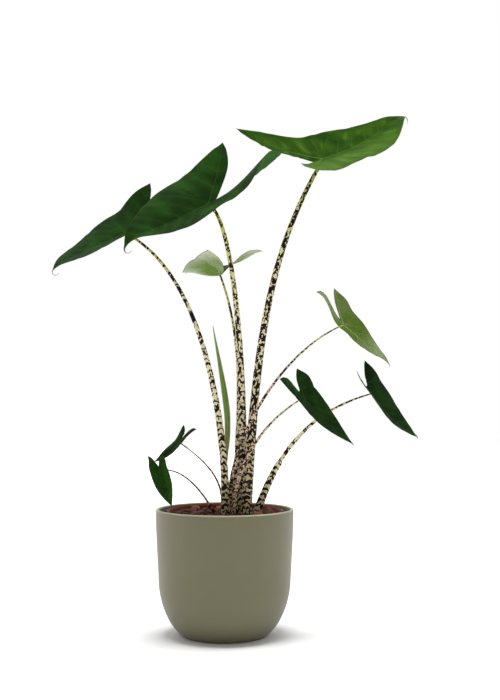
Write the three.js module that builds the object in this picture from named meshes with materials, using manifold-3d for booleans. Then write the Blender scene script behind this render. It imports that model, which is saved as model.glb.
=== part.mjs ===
// A potted zebra-stem elephant ear (alocasia zebrina): nine arrow-shaped leaves on tall leaf
// stalks and one rolled new leaf, rooted in a plastic grow pot that stands in a ceramic planter.
//
// Units are millimetres and +Z is up. The origin is the centre of the planter's flat underside.
// +X is to the right and -Y is the front of the plant.
import * as THREE from "three";
import { LoftGeometry } from "three/addons/geometries/LoftGeometry.js";
import { mergeGeometries, mergeVertices } from "three/addons/utils/BufferGeometryUtils.js";
import Module from "manifold-3d";

const wasm = await Module();
wasm.setup();

// ---------------------------------------------------------------- driving dimensions

const GAP = 0.3; // clearance between pieces that touch on the real plant

// Ceramic planter
const PLANTER_HEIGHT = 180;
const PLANTER_RIM_RADIUS = 100;
const PLANTER_WALL = 5;
const PLANTER_FLOOR = 8;
const FOOT_RADIUS = 62;
const FOOT_HEIGHT = 2;
const LIP_ROUNDING = 2.4;
const FOOT_STEP = 1.5; // how far the body starts outside the foot ring
const BODY_KNEE_HEIGHT = 77; // where the round lower body meets the nearly straight wall
const BODY_KNEE_RADIUS = 95.6;
const INNER_KNEE_RADIUS = 90;
const FLOOR_RADIUS = 70; // inside, where the floor meets the rounding
const KNEE_LEAN = 1.4; // shift of the curve handles beside the knee
const LOWER_HANDLE_OUT = 17;
const LOWER_HANDLE_UP = 11;
const LOWER_HANDLE_DROP = 34; // how far below the knee the lower curve's handle is
const UPPER_HANDLE_RISE = 33;

// Plastic grow pot
const GROW_POT_RIM_RADIUS = 85;
const GROW_POT_BASE_RADIUS = 66;
const GROW_POT_TOP = 178;
const GROW_POT_WALL = 1.4;
const GROW_POT_RIM_BAND = 9; // height of the thicker band under the rim
const GROW_POT_RIM_OUTSET = 2; // how far that band stands out

// Soil
const SOIL_EDGE_TOP = 166;
const SOIL_MOUND_TOP = 174;
const SOIL_MOUND_RADIUS = 46;

// Leaf tissue
const BLADE_THICKNESS = 1.2;
const WIDEST_BODY = 0.52; // share of the margin from the tip to the widest part
const SHOULDER_END = 0.64; // share of the margin from the tip to the start of a rear lobe
const NOTCH_CLEARANCE = 1; // each rear lobe keeps this far from the line behind the joint
const LIFT_START = 0.12; // share of a rear lobe that stays level, at least down to the notch
const LOBE_FOLD_REACH = 0.7; // share of a rear lobe over which its added slope builds up
const TIP_FOLD_REACH = 0.7; // share of the length over which the slope at the tip builds up
const DROOP_POWER = 1.3; // above 1 keeps the midrib straighter near the joint
const TIP_CURL_START = 0.8; // share of the midrib where the tip starts to curl
// Outline ahead of the joint: share of the length, share of that half's width, and what is
// added to the latter at a fullness of 1
const MARGIN_SHARES = [
  [1, 0.03, 0], [0.93, 0.12, 0.16], [0.8, 0.33, 0.18], [0.55, 0.68, 0.1], [0.28, 0.93, 0], [0, 1, 0],
];
// Notch outline: (share of the rear lobe, share of its inset from the lobe's rib)
const NOTCH_SHARES = [[0.3, 0.8], [0.6, 1], [0.85, 0.6]];

// Leaf stalks
const STALK_TAPER_POWER = 0.8; // below 1 thins the stalk faster near its base

// Mesh density
const POT_SEGMENTS = 48;
const STALK_SIDES = 8;
const STALK_STEPS = 14;
const MIDRIB_ROWS = 9;
const FAN_ROWS = 3;
const LOBE_ROWS = 6;
const MARGIN_COLUMNS = 3;
const NOTCH_COLUMNS = 2;

const COLOURS = {
  planter: 0x75715a,
  growPot: 0x6b2f22,
  soil: 0x2a1d17,
  stalk: 0xb9ab7c,
  darkBlade: 0x1f4220,
  rightBlade: 0x2f5a1c,
  paleBlade: 0x7d9465,
  rolledLeaf: 0x6f9a3a,
};

// Each leaf: where its stalk meets its blade (joint), how the blade points (heading is counted
// from +X towards +Y, pitch is up, roll is about its own midrib), and its length and the depth of
// its notch from the joint. Droop is how far the midrib bends down from joint to tip, drip the
// thread that ends the tip, and tipCurl and dripCurl the further bend of each. A half is the
// blade left or right of the midrib, seen from the stalk, with its rear lobe: splay is the angle
// between lobe and midrib, bulge and inset how far the lobe's two sides stand out from its rib,
// as shares of its length, fold the slope of the half, lobeFold and tipFold the slope added
// towards its two ends, cup its bend towards the margin, and lift how far its lobe bends up.
// Fullness widens the outline near the tip. All angles are degrees.
const LEAVES = [
  {
    name: "upper_left",
    colour: COLOURS.darkBlade,
    joint: [-146, 2, 583],
    heading: 189, pitch: -26, roll: -26,
    length: 121, notch: 10, droop: -1, tipCurl: 32, drip: 17, dripCurl: 190,
    left: {
      width: 59, lobe: 94, splay: 23, bulge: 0.1, inset: 0.1, fullness: 0.1,
      fold: 10, lobeFold: -2, tipFold: -6, cup: 14, lift: -40,
    },
    right: {
      width: 63, lobe: 97, splay: 34, bulge: 0.09, inset: 0.1, fullness: 0.3,
      fold: 18, lobeFold: 21, tipFold: -13, cup: -12, lift: 25,
    },
    stalk: { path: [[1, -6, 166], [3, -8, 308], [-32, -8, 523]], baseRadius: 6.6, topRadius: 1.7 },
  },
  {
    name: "upper_middle",
    colour: COLOURS.darkBlade,
    joint: [-24, -45, 618],
    heading: 210, pitch: -30, roll: -26,
    length: 151, notch: 15, droop: -13, tipCurl: 49, drip: 21, dripCurl: 190,
    left: {
      width: 56, lobe: 121, splay: 39, bulge: 0.12, inset: 0.23,
      fold: 27, lobeFold: 43, tipFold: -19, cup: -13, lift: -38,
    },
    right: {
      width: 74, lobe: 126, splay: 36, bulge: 0.04, inset: 0.11,
      fold: 34, lobeFold: 12, tipFold: -6, cup: -41, lift: 21,
    },
    stalk: {
      path: [[22, 18, 165], [33, 18, 311], [20, -20, 596]],
      baseRadius: 8.2, topRadius: 2.4, raised: 0.2,
    },
  },
  {
    name: "upper_right",
    colour: COLOURS.rightBlade,
    joint: [151, 70, 711],
    heading: 37, pitch: 21, roll: 7,
    length: 207, notch: 21, droop: -24, tipCurl: 31, drip: 17, dripCurl: 120,
    left: {
      width: 55, lobe: 151, splay: 36, bulge: 0.02, inset: 0.07, fullness: 0.2,
      fold: 38, lobeFold: 5, tipFold: -8, cup: 10, lift: 10,
    },
    right: {
      width: 74, lobe: 156, splay: 37, bulge: 0.03, inset: 0.11, fullness: 0.4,
      fold: 5, lobeFold: 0, tipFold: -9, cup: -22, lift: 36,
    },
    stalk: { path: [[30, -5, 163], [45, 2, 371], [52, 40, 540]], baseRadius: 8.4, topRadius: 3 },
  },
  {
    name: "young_back",
    colour: COLOURS.paleBlade,
    joint: [-8, 60, 529],
    heading: 117, pitch: 3, roll: -36,
    length: 105, notch: 8, droop: -22, tipCurl: 7, drip: 13, dripCurl: 120,
    left: {
      width: 50, lobe: 80, splay: 38, bulge: 0.06, inset: 0.16, fullness: 0.4,
      fold: 70, lobeFold: 8, tipFold: -28, cup: -20, lift: 24,
    },
    right: {
      width: 27, lobe: 88, splay: 50, bulge: -0.04, inset: 0.1,
      fold: 30, lobeFold: 25, tipFold: -9, cup: -50, lift: 42,
    },
    stalk: { path: [[14, 31, 163], [15, 27, 280], [37, 40, 407]], baseRadius: 4.2, topRadius: 1.5 },
  },
  {
    name: "middle_right",
    colour: COLOURS.paleBlade,
    joint: [178, 20, 450],
    heading: 350, pitch: -43, roll: -46,
    length: 91, notch: 8, droop: -8, tipCurl: 31, drip: 5, dripCurl: 120,
    left: {
      width: 27, lobe: 82, splay: 50, bulge: -0.05, inset: 0.11, fullness: 0.4,
      fold: 54, lobeFold: 70, tipFold: -13, cup: -50, lift: -38,
    },
    right: {
      width: 26, lobe: 58, splay: 30, bulge: 0.04, inset: 0.07,
      fold: 1, lobeFold: 36, tipFold: -20, cup: 22, lift: 4,
    },
    stalk: { path: [[11, 8, 165], [-9, -14, 255], [71, -40, 405]], baseRadius: 4.2, topRadius: 1.1 },
  },
  {
    name: "lower_front",
    colour: COLOURS.darkBlade,
    joint: [112, -50, 341],
    heading: 358, pitch: -50, roll: 43,
    length: 95, notch: 11, droop: -18, tipCurl: -2, drip: 4, dripCurl: 120,
    left: {
      width: 30, lobe: 42, splay: 27, bulge: 0.05, inset: 0.11,
      fold: 8, lobeFold: 40, tipFold: -4, cup: -10, lift: -2,
    },
    right: {
      width: 26, lobe: 48, splay: 28, bulge: -0.04, inset: 0.32,
      fold: 30, lobeFold: -8, tipFold: -10, cup: -18, lift: 4,
    },
    stalk: {
      path: [[12, -15, 166], [11, -20, 230], [43, -34, 301]],
      baseRadius: 3.6, topRadius: 0.9,
    },
  },
  {
    name: "lower_right",
    colour: COLOURS.darkBlade,
    joint: [219, 30, 347],
    heading: 2, pitch: -54, roll: 43,
    length: 94, notch: 13, droop: -30, tipCurl: 0, drip: 4, dripCurl: 120,
    left: {
      width: 41, lobe: 52, splay: 25, bulge: -0.02, inset: 0.07,
      fold: 8, lobeFold: 24, tipFold: -5, cup: -16, lift: 9,
    },
    right: {
      width: 36, lobe: 49, splay: 23, bulge: -0.02, inset: 0.21,
      fold: 25, lobeFold: 0, tipFold: -10, cup: 21, lift: 20,
    },
    stalk: { path: [[44, 9, 165], [69, 6, 238], [106, 14, 316]], baseRadius: 5.4, topRadius: 1.1 },
  },
  {
    name: "low_left_front",
    colour: COLOURS.darkBlade,
    joint: [-92, -40, 238],
    heading: 324, pitch: -67, roll: 57,
    length: 53, notch: 6, droop: 14, tipCurl: 19, drip: 3, dripCurl: 120,
    left: {
      width: 21, lobe: 28, splay: 32, bulge: 0.05, inset: 0.14,
      fold: 45, lobeFold: -9, tipFold: -8, cup: 15, lift: 44,
    },
    right: {
      width: 21, lobe: 30, splay: 37, bulge: 0.03, inset: 0.18,
      fold: 38, lobeFold: 10, tipFold: -6, cup: 31, lift: 10,
    },
    stalk: {
      path: [[-11, -10, 166], [-21, -14, 188], [-53, -28, 244]],
      baseRadius: 1.9, topRadius: 0.8,
    },
  },
  {
    name: "low_left_back",
    colour: COLOURS.darkBlade,
    joint: [-66, -20, 277],
    heading: 188, pitch: -51, roll: -11,
    length: 47, notch: 6, droop: -28, tipCurl: -25, drip: 2, dripCurl: 120,
    left: {
      width: 13, lobe: 34, splay: 30, bulge: -0.01, inset: 0.28,
      fold: 19, lobeFold: 6, tipFold: -12, cup: -40, lift: -19,
    },
    right: {
      width: 15, lobe: 31, splay: 38, bulge: 0.07, inset: 0.27,
      fold: 34, lobeFold: 12, tipFold: 14, cup: -50, lift: 10,
    },
    stalk: { path: [[-7, 8, 164], [5, 6, 216], [-22, -8, 245]], baseRadius: 1.9, topRadius: 0.8 },
  },
];

// The rolled new leaf: a thin stalk that swells into a spindle and ends in a long point.
const ROLLED_LEAF_PATH = [[-3, 20, 164], [1, 19, 250], [3, 16, 320], [-18, 13, 447]];
const ROLLED_LEAF_RADII = [2.4, 2.6, 3.6, 4.6, 4.3, 2.6, 0.5];

// ---------------------------------------------------------------- small helpers

const radians = THREE.MathUtils.degToRad;
const clamp01 = (value) => THREE.MathUtils.clamp(value, 0, 1);
const smooth = (value) => THREE.MathUtils.smoothstep(value, 0, 1);
const vector = ([x, y, z]) => new THREE.Vector3(x, y, z);

function named(name, geometry, color, roughness) {
  const material = new THREE.MeshStandardMaterial({ color, roughness, metalness: 0 });
  const mesh = new THREE.Mesh(geometry, material);
  mesh.name = name;
  return mesh;
}

// Only positions, with shared vertices merged, as solids and sheets need them.
function welded(geometry) {
  geometry.deleteAttribute("normal");
  geometry.deleteAttribute("uv");
  return mergeVertices(geometry, 1e-3);
}

function solidOf(geometry) {
  const { attributes, index } = welded(geometry);
  const vertProperties = attributes.position.array;
  const triVerts = new Uint32Array(index.array);
  return new wasm.Manifold(new wasm.Mesh({ numProp: 3, vertProperties, triVerts }));
}

function geometryOf(solid) {
  const { vertProperties, triVerts } = solid.getMesh();
  const geometry = new THREE.BufferGeometry();
  geometry.setAttribute("position", new THREE.BufferAttribute(vertProperties, 3));
  geometry.setIndex(new THREE.BufferAttribute(triVerts, 1));
  return geometry;
}

// A surface through rows of points, kept as a plain geometry.
function lofted(rows, options) {
  return new THREE.BufferGeometry().copy(new LoftGeometry(rows, options));
}

// A profile of (radius, height) points turned about the Z axis.
function turned(profile) {
  return new THREE.LatheGeometry(profile, POT_SEGMENTS).rotateX(Math.PI / 2);
}

// ---------------------------------------------------------------- pots and soil

function planterGeometry() {
  const shape = new THREE.Shape();
  const innerRim = PLANTER_RIM_RADIUS - PLANTER_WALL;
  const straightTop = PLANTER_HEIGHT - LIP_ROUNDING;
  shape.moveTo(0, 0);
  shape.lineTo(FOOT_RADIUS, 0);
  shape.lineTo(FOOT_RADIUS, FOOT_HEIGHT);
  shape.lineTo(FOOT_RADIUS + FOOT_STEP, FOOT_HEIGHT);
  // rounded lower body, then a wall that leans out very slightly
  shape.bezierCurveTo(
    FOOT_RADIUS + LOWER_HANDLE_OUT, FOOT_HEIGHT + LOWER_HANDLE_UP,
    BODY_KNEE_RADIUS - KNEE_LEAN, BODY_KNEE_HEIGHT - LOWER_HANDLE_DROP,
    BODY_KNEE_RADIUS, BODY_KNEE_HEIGHT,
  );
  shape.bezierCurveTo(
    BODY_KNEE_RADIUS + KNEE_LEAN, BODY_KNEE_HEIGHT + UPPER_HANDLE_RISE,
    PLANTER_RIM_RADIUS, straightTop - UPPER_HANDLE_RISE,
    PLANTER_RIM_RADIUS, straightTop,
  );
  shape.quadraticCurveTo(
    PLANTER_RIM_RADIUS, PLANTER_HEIGHT,
    PLANTER_RIM_RADIUS - LIP_ROUNDING, PLANTER_HEIGHT,
  );
  shape.lineTo(innerRim + LIP_ROUNDING, PLANTER_HEIGHT);
  shape.quadraticCurveTo(innerRim, PLANTER_HEIGHT, innerRim, straightTop);
  shape.lineTo(INNER_KNEE_RADIUS, BODY_KNEE_HEIGHT);
  shape.bezierCurveTo(
    INNER_KNEE_RADIUS - KNEE_LEAN, BODY_KNEE_HEIGHT - LOWER_HANDLE_DROP,
    FLOOR_RADIUS + LOWER_HANDLE_UP, PLANTER_FLOOR + LOWER_HANDLE_UP,
    FLOOR_RADIUS, PLANTER_FLOOR,
  );
  shape.lineTo(0, PLANTER_FLOOR);
  const CURVE_DIVISIONS = 5;
  return turned(withoutRepeats(shape.getPoints(CURVE_DIVISIONS)));
}

// Drops a point that lies on the one before it.
function withoutRepeats(points) {
  return points.filter((point, i) => i === 0 || point.distanceTo(points[i - 1]) > 1e-6);
}

// The grow pot's wall leans out evenly from its base to the band under its rim.
function growPotRadius(height) {
  const base = PLANTER_FLOOR + GAP;
  const share = (height - base) / (GROW_POT_TOP - base);
  return THREE.MathUtils.lerp(GROW_POT_BASE_RADIUS, GROW_POT_RIM_RADIUS - GROW_POT_RIM_OUTSET, share);
}

function growPotGeometry() {
  const base = PLANTER_FLOOR + GAP;
  const bandBottom = GROW_POT_TOP - GROW_POT_RIM_BAND;
  const bandInner = GROW_POT_RIM_RADIUS - GROW_POT_RIM_OUTSET - GROW_POT_WALL;
  return turned([
    new THREE.Vector2(0, base),
    new THREE.Vector2(GROW_POT_BASE_RADIUS, base),
    new THREE.Vector2(growPotRadius(bandBottom), bandBottom),
    new THREE.Vector2(GROW_POT_RIM_RADIUS, bandBottom + 1),
    new THREE.Vector2(GROW_POT_RIM_RADIUS, GROW_POT_TOP),
    new THREE.Vector2(bandInner, GROW_POT_TOP),
    new THREE.Vector2(growPotRadius(base) - GROW_POT_WALL, base + GROW_POT_WALL),
    new THREE.Vector2(0, base + GROW_POT_WALL),
  ]);
}

function soilGeometry(sockets) {
  const bottom = PLANTER_FLOOR + GROW_POT_WALL + 2 * GAP;
  const inset = GROW_POT_WALL + GAP + 0.2; // clear of the faceted wall
  const top = new THREE.SplineCurve([
    new THREE.Vector2(growPotRadius(SOIL_EDGE_TOP) - inset, SOIL_EDGE_TOP),
    new THREE.Vector2(SOIL_MOUND_RADIUS, (SOIL_EDGE_TOP + SOIL_MOUND_TOP) / 2),
    new THREE.Vector2(0, SOIL_MOUND_TOP),
  ]);
  let soil = solidOf(turned([
    new THREE.Vector2(0, bottom),
    new THREE.Vector2(growPotRadius(bottom) - inset, bottom),
    ...top.getPoints(4),
  ]));
  for (const socket of sockets) {
    soil = soil.subtract(solidOf(socket));
  }
  return geometryOf(soil);
}

// ---------------------------------------------------------------- stalks

// Rings of vertices along a curve, with a radius for each share of the way.
function taperedTube(curve, radiusAt, steps) {
  const { normals, binormals } = curve.computeFrenetFrames(steps);
  const rings = [];
  for (let i = 0; i <= steps; i += 1) {
    const centre = curve.getPointAt(i / steps);
    const radius = radiusAt(i / steps);
    const ring = [];
    for (let side = 0; side < STALK_SIDES; side += 1) {
      const angle = (side / STALK_SIDES) * 2 * Math.PI;
      ring.push(
        centre.clone()
          .addScaledVector(normals[i], radius * Math.cos(angle))
          .addScaledVector(binormals[i], radius * Math.sin(angle)),
      );
    }
    rings.push(ring);
  }
  return lofted(rings, { capStart: true, capEnd: true });
}

// The stalk ends just under the blade, close enough to touch it at the joint. A raised one
// reaches further up into the fold of its blade.
function stalkCurve(leaf) {
  const { path, topRadius, raised = 0 } = leaf.stalk;
  const [base, rise, reach] = path.map(vector);
  const up = new THREE.Vector3(0, 0, 1).applyMatrix4(bladeRotation(leaf));
  const arrival = vector(leaf.joint).sub(reach).normalize();
  const tilt = Math.sqrt(1 - arrival.dot(up) ** 2);
  const drop = BLADE_THICKNESS / 2 + GAP + topRadius * tilt - raised;
  const top = vector(leaf.joint).addScaledVector(up, -drop);
  return new THREE.CubicBezierCurve3(base, rise, reach, top);
}

function stalkRadius(leaf, share) {
  const { baseRadius, topRadius } = leaf.stalk;
  return THREE.MathUtils.lerp(baseRadius, topRadius, share ** STALK_TAPER_POWER);
}

function stalkGeometry(leaf) {
  return taperedTube(stalkCurve(leaf), (share) => stalkRadius(leaf, share), STALK_STEPS);
}

// The hole that a stalk fills in the soil: the same tube, wider and deeper by twice the gap.
function socketGeometry(curve, radiusAt) {
  const hole = curve.clone();
  const foot = curve.getPointAt(0).addScaledVector(curve.getTangentAt(0), -2 * GAP);
  if (hole.isCubicBezierCurve3) {
    hole.v0.copy(foot);
  } else {
    hole.points[0].copy(foot);
  }
  return taperedTube(hole, (share) => radiusAt(share) + 2 * GAP, STALK_STEPS);
}

// ---------------------------------------------------------------- leaf blades

function bladeRotation(leaf) {
  const heading = new THREE.Matrix4().makeRotationZ(radians(leaf.heading));
  const pitch = new THREE.Matrix4().makeRotationY(-radians(leaf.pitch));
  const roll = new THREE.Matrix4().makeRotationX(radians(leaf.roll));
  return heading.multiply(pitch).multiply(roll);
}

// Tip of a rear lobe on the flat blade: (along the midrib, away from it).
function lobeTip({ lobe, splay }) {
  return new THREE.Vector2(-Math.cos(radians(splay)), Math.sin(radians(splay))).multiplyScalar(lobe);
}

// Sideways from the rib of a rear lobe, on the flat blade.
function awayFromLobe({ splay }) {
  return new THREE.Vector2(Math.sin(radians(splay)), Math.cos(radians(splay)));
}

// Flat outline of one half, from the end of the drip tip round to the rear lobe's tip.
function outerMargin({ length, drip }, half) {
  const { width, fullness = 0 } = half;
  const tip = lobeTip(half);
  const bulge = awayFromLobe(half).multiplyScalar(half.bulge * half.lobe);
  const ahead = MARGIN_SHARES.map(([along, across, added]) =>
    new THREE.Vector2(along * length, (across + added * fullness) * width));
  return new THREE.SplineCurve([
    new THREE.Vector2(length + drip, 0),
    new THREE.Vector2(length + drip / 2, 0.012 * width),
    ...ahead,
    new THREE.Vector2(0, width).lerp(tip, 0.5).add(bulge),
    tip,
  ]);
}

// Flat outline of the notch side of a rear lobe, from the notch to the lobe's tip.
function notchMargin(leaf, half) {
  const tip = lobeTip(half);
  const inset = half.inset * half.lobe;
  const alongLobe = NOTCH_SHARES.map(([share, depth]) =>
    tip.clone().multiplyScalar(share).addScaledVector(awayFromLobe(half), -inset * depth));
  return new THREE.SplineCurve([new THREE.Vector2(-leaf.notch, 0), ...alongLobe, tip]);
}

// Rows from the midrib, or from the rib of the rear lobe, out to the margin.
function outerRows(leaf, half) {
  const margin = outerMargin(leaf, half);
  const tip = lobeTip(half);
  const reach = leaf.length + leaf.drip;
  const rows = [];
  for (let i = 0; i <= MIDRIB_ROWS; i += 1) {
    const share = i / MIDRIB_ROWS;
    rows.push([new THREE.Vector2(reach * (1 - share), 0), margin.getPointAt(WIDEST_BODY * share)]);
  }
  for (let i = 1; i <= FAN_ROWS; i += 1) {
    const share = THREE.MathUtils.lerp(WIDEST_BODY, SHOULDER_END, i / FAN_ROWS);
    rows.push([new THREE.Vector2(0, 0), margin.getPointAt(share)]);
  }
  for (let i = 1; i <= LOBE_ROWS; i += 1) {
    const share = THREE.MathUtils.lerp(SHOULDER_END, 1, i / LOBE_ROWS);
    rows.push([tip.clone().multiplyScalar(i / LOBE_ROWS), margin.getPointAt(share)]);
  }
  return rows.map(([rib, edge]) => filledRow(rib, edge, MARGIN_COLUMNS));
}

// Rows from the rib of the rear lobe in to the notch.
function notchRows(leaf, half) {
  const margin = notchMargin(leaf, half);
  const tip = lobeTip(half);
  const rows = [];
  for (let i = 0; i <= LOBE_ROWS; i += 1) {
    const edge = margin.getPointAt(i / LOBE_ROWS);
    if (i > 0) {
      edge.y = Math.max(edge.y, NOTCH_CLEARANCE);
    }
    rows.push(filledRow(tip.clone().multiplyScalar(i / LOBE_ROWS), edge, NOTCH_COLUMNS));
  }
  return rows;
}

function filledRow(start, end, columns) {
  const row = [];
  for (let j = 0; j <= columns; j += 1) {
    row.push(start.clone().lerp(end, j / columns));
  }
  return row;
}

// Slope of the bent midrib, or of the line behind the joint, at a distance along it.
function midribSlope(leaf, half, along) {
  if (along < 0) {
    const start = Math.max(LIFT_START, leaf.notch / half.lobe);
    return -radians(half.lift) * clamp01((-along / half.lobe - start) / (1 - start));
  }
  const share = along / leaf.length;
  const droop = radians(leaf.droop) * clamp01(share) ** DROOP_POWER;
  const tipCurl = radians(leaf.tipCurl) * smooth((share - TIP_CURL_START) / (1 - TIP_CURL_START));
  const dripCurl = radians(leaf.dripCurl) * clamp01((along - leaf.length) / leaf.drip);
  return -droop - tipCurl - dripCurl;
}

// Point on the bent midrib, by adding up short straight steps from the joint.
function midribPoint(leaf, half, along) {
  const STEPS = 40;
  const step = along / STEPS;
  const point = { x: 0, z: 0 };
  for (let i = 0; i < STEPS; i += 1) {
    const slope = midribSlope(leaf, half, (i + 0.5) * step);
    point.x += step * Math.cos(slope);
    point.z += step * Math.sin(slope);
  }
  return point;
}

// A flat point of one half, folded and cupped about the bent midrib. side is +1 or -1.
function bentPoint(leaf, half, side, { x: along, y: across }) {
  const onRib = midribPoint(leaf, half, along);
  const slope = midribSlope(leaf, half, along);
  const onLobe = smooth(-along / (LOBE_FOLD_REACH * half.lobe));
  const nearTip = smooth(along / (TIP_FOLD_REACH * leaf.length));
  const fold = radians(half.fold + half.lobeFold * onLobe + half.tipFold * nearTip);
  const bend = (radians(half.cup) || 1e-6) / half.width;
  const sideways = (Math.sin(fold + bend * across) - Math.sin(fold)) / bend;
  const rise = (Math.cos(fold) - Math.cos(fold + bend * across)) / bend;
  return new THREE.Vector3(
    onRib.x - Math.sin(slope) * rise,
    side * sideways,
    onRib.z + Math.cos(slope) * rise,
  );
}

// One strip of the blade's middle surface, facing up.
function strip(leaf, half, side, rows, facesUp) {
  const sections = rows.map((row) => {
    const points = row.map((point) => bentPoint(leaf, half, side, point));
    return facesUp ? points : points.reverse();
  });
  return lofted(sections, { closed: false });
}

// Thickens an open sheet into a closed solid, half the thickness to each side.
function thickened(sheet, thickness) {
  const position = sheet.attributes.position;
  const triangles = [];
  for (let i = 0; i < sheet.index.count; i += 3) {
    const corners = [0, 1, 2].map((k) => sheet.index.getX(i + k));
    if (new Set(corners).size === 3) {
      triangles.push(corners);
    }
  }
  sheet.setIndex(triangles.flat());
  sheet.computeVertexNormals();
  const normal = sheet.attributes.normal;
  const vertices = [];
  for (const offset of [thickness / 2, -thickness / 2]) {
    for (let i = 0; i < position.count; i += 1) {
      const at = new THREE.Vector3().fromBufferAttribute(position, i);
      at.addScaledVector(new THREE.Vector3().fromBufferAttribute(normal, i), offset);
      vertices.push(at.x, at.y, at.z);
    }
  }
  const below = position.count;
  const key = (a, b) => `${a}/${b}`;
  const edges = new Set(triangles.flatMap(([a, b, c]) => [key(a, b), key(b, c), key(c, a)]));
  const indices = [];
  for (const [a, b, c] of triangles) {
    indices.push(a, b, c, below + c, below + b, below + a);
    for (const [from, to] of [[a, b], [b, c], [c, a]]) {
      if (!edges.has(key(to, from))) {
        indices.push(to, from, below + from, to, below + from, below + to);
      }
    }
  }
  const solid = new THREE.BufferGeometry();
  solid.setAttribute("position", new THREE.Float32BufferAttribute(vertices, 3));
  solid.setIndex(indices);
  return solid;
}

function bladeGeometry(leaf) {
  const strips = [[leaf.left, 1], [leaf.right, -1]].flatMap(([half, side]) => [
    strip(leaf, half, side, outerRows(leaf, half), side > 0),
    strip(leaf, half, side, notchRows(leaf, half), side < 0),
  ]);
  const sheet = welded(mergeGeometries(strips));
  return thickened(sheet, BLADE_THICKNESS).applyMatrix4(bladeRotation(leaf));
}

// ---------------------------------------------------------------- rolled new leaf

function rolledLeafCurve() {
  return new THREE.CatmullRomCurve3(ROLLED_LEAF_PATH.map(vector));
}

function rolledLeafRadius(share) {
  const last = ROLLED_LEAF_RADII.length - 1;
  const radii = new THREE.SplineCurve(
    ROLLED_LEAF_RADII.map((radius, i) => new THREE.Vector2(i / last, radius)),
  );
  return radii.getPoint(share).y;
}

function rolledLeafGeometry() {
  return taperedTube(rolledLeafCurve(), rolledLeafRadius, STALK_STEPS);
}

// ---------------------------------------------------------------- the plant

const plant = new THREE.Group();
plant.name = "potted_alocasia_zebrina";

const sockets = LEAVES.map((leaf) =>
  socketGeometry(stalkCurve(leaf), (share) => stalkRadius(leaf, share)));
sockets.push(socketGeometry(rolledLeafCurve(), rolledLeafRadius));

plant.add(named("planter", planterGeometry(), COLOURS.planter, 0.55));
plant.add(named("grow_pot", growPotGeometry(), COLOURS.growPot, 0.5));
plant.add(named("soil", soilGeometry(sockets), COLOURS.soil, 0.95));

for (const leaf of LEAVES) {
  plant.add(named(`stalk_${leaf.name}`, stalkGeometry(leaf), COLOURS.stalk, 0.45));
  const blade = named(`blade_${leaf.name}`, bladeGeometry(leaf), leaf.colour, 0.35);
  blade.position.fromArray(leaf.joint);
  plant.add(blade);
}

plant.add(named("rolled_leaf", rolledLeafGeometry(), COLOURS.rolledLeaf, 0.45));

export default plant;
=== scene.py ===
"""Potted alocasia zebrina: arrow-shaped leaves on zebra-banded stalks, in a ceramic planter.

Sizes in the tables are millimetres and degrees; meshes are made in metres, in the CAD frame.
"""
import math
import random

import bmesh
import bpy
import numpy as np
from mathutils import Matrix, Vector, noise


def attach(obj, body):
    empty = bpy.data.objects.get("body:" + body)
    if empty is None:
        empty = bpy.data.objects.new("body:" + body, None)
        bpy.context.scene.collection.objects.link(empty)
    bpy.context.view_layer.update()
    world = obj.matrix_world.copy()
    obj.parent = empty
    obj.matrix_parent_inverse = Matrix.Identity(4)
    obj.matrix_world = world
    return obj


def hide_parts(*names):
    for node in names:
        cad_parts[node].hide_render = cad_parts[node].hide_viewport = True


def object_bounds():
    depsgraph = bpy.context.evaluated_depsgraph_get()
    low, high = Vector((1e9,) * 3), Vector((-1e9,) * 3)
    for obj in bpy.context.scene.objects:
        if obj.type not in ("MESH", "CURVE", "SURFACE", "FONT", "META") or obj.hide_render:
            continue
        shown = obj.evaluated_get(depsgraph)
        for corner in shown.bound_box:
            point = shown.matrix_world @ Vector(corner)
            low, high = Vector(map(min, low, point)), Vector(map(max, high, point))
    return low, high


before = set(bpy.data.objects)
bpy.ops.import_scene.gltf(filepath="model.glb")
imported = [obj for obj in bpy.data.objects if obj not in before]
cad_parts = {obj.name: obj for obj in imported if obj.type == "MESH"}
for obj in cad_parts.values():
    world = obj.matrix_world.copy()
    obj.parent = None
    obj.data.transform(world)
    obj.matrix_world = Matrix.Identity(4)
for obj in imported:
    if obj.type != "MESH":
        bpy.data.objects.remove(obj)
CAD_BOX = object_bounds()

bl_info = {
    "name": "Potted Alocasia Zebrina",
    "version": (1, 0, 0),
    "blender": (4, 5, 0),
    "location": "3D View > Sidebar > Zebrina",
    "description": "Builds a potted zebra-stem elephant ear and its studio",
    "category": "Add Mesh",
}

MM = 0.001
METRE = 1000
TURN = 2 * math.pi

# ------------------------------------------------------------------ sizes shared with the CAD

GAP = 0.3
PLANTER_HEIGHT = 180
PLANTER_RIM_RADIUS = 100
PLANTER_WALL = 5
PLANTER_FLOOR = 8
FOOT_RADIUS = 62
FOOT_HEIGHT = 2
FOOT_EDGE = 0.6            # rounding of the foot ring's outer edge
LIP_ROUNDING = 2.4
FOOT_STEP = 1.5            # how far the body starts outside the foot ring
BODY_KNEE_HEIGHT = 77      # where the round lower body meets the nearly straight wall
BODY_KNEE_RADIUS = 95.6
INNER_KNEE_RADIUS = 90
FLOOR_RADIUS = 70          # inside, where the floor meets the rounding
KNEE_LEAN = 1.4            # shift of the curve handles beside the knee
LOWER_HANDLE_OUT = 17
LOWER_HANDLE_UP = 11
LOWER_HANDLE_DROP = 34     # how far below the knee the lower curve's handle is
UPPER_HANDLE_RISE = 33     # how far above the knee the upper curve's first handle is
RIM_HANDLE_DROP = 32.4     # how far under the lip its second handle is

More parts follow.
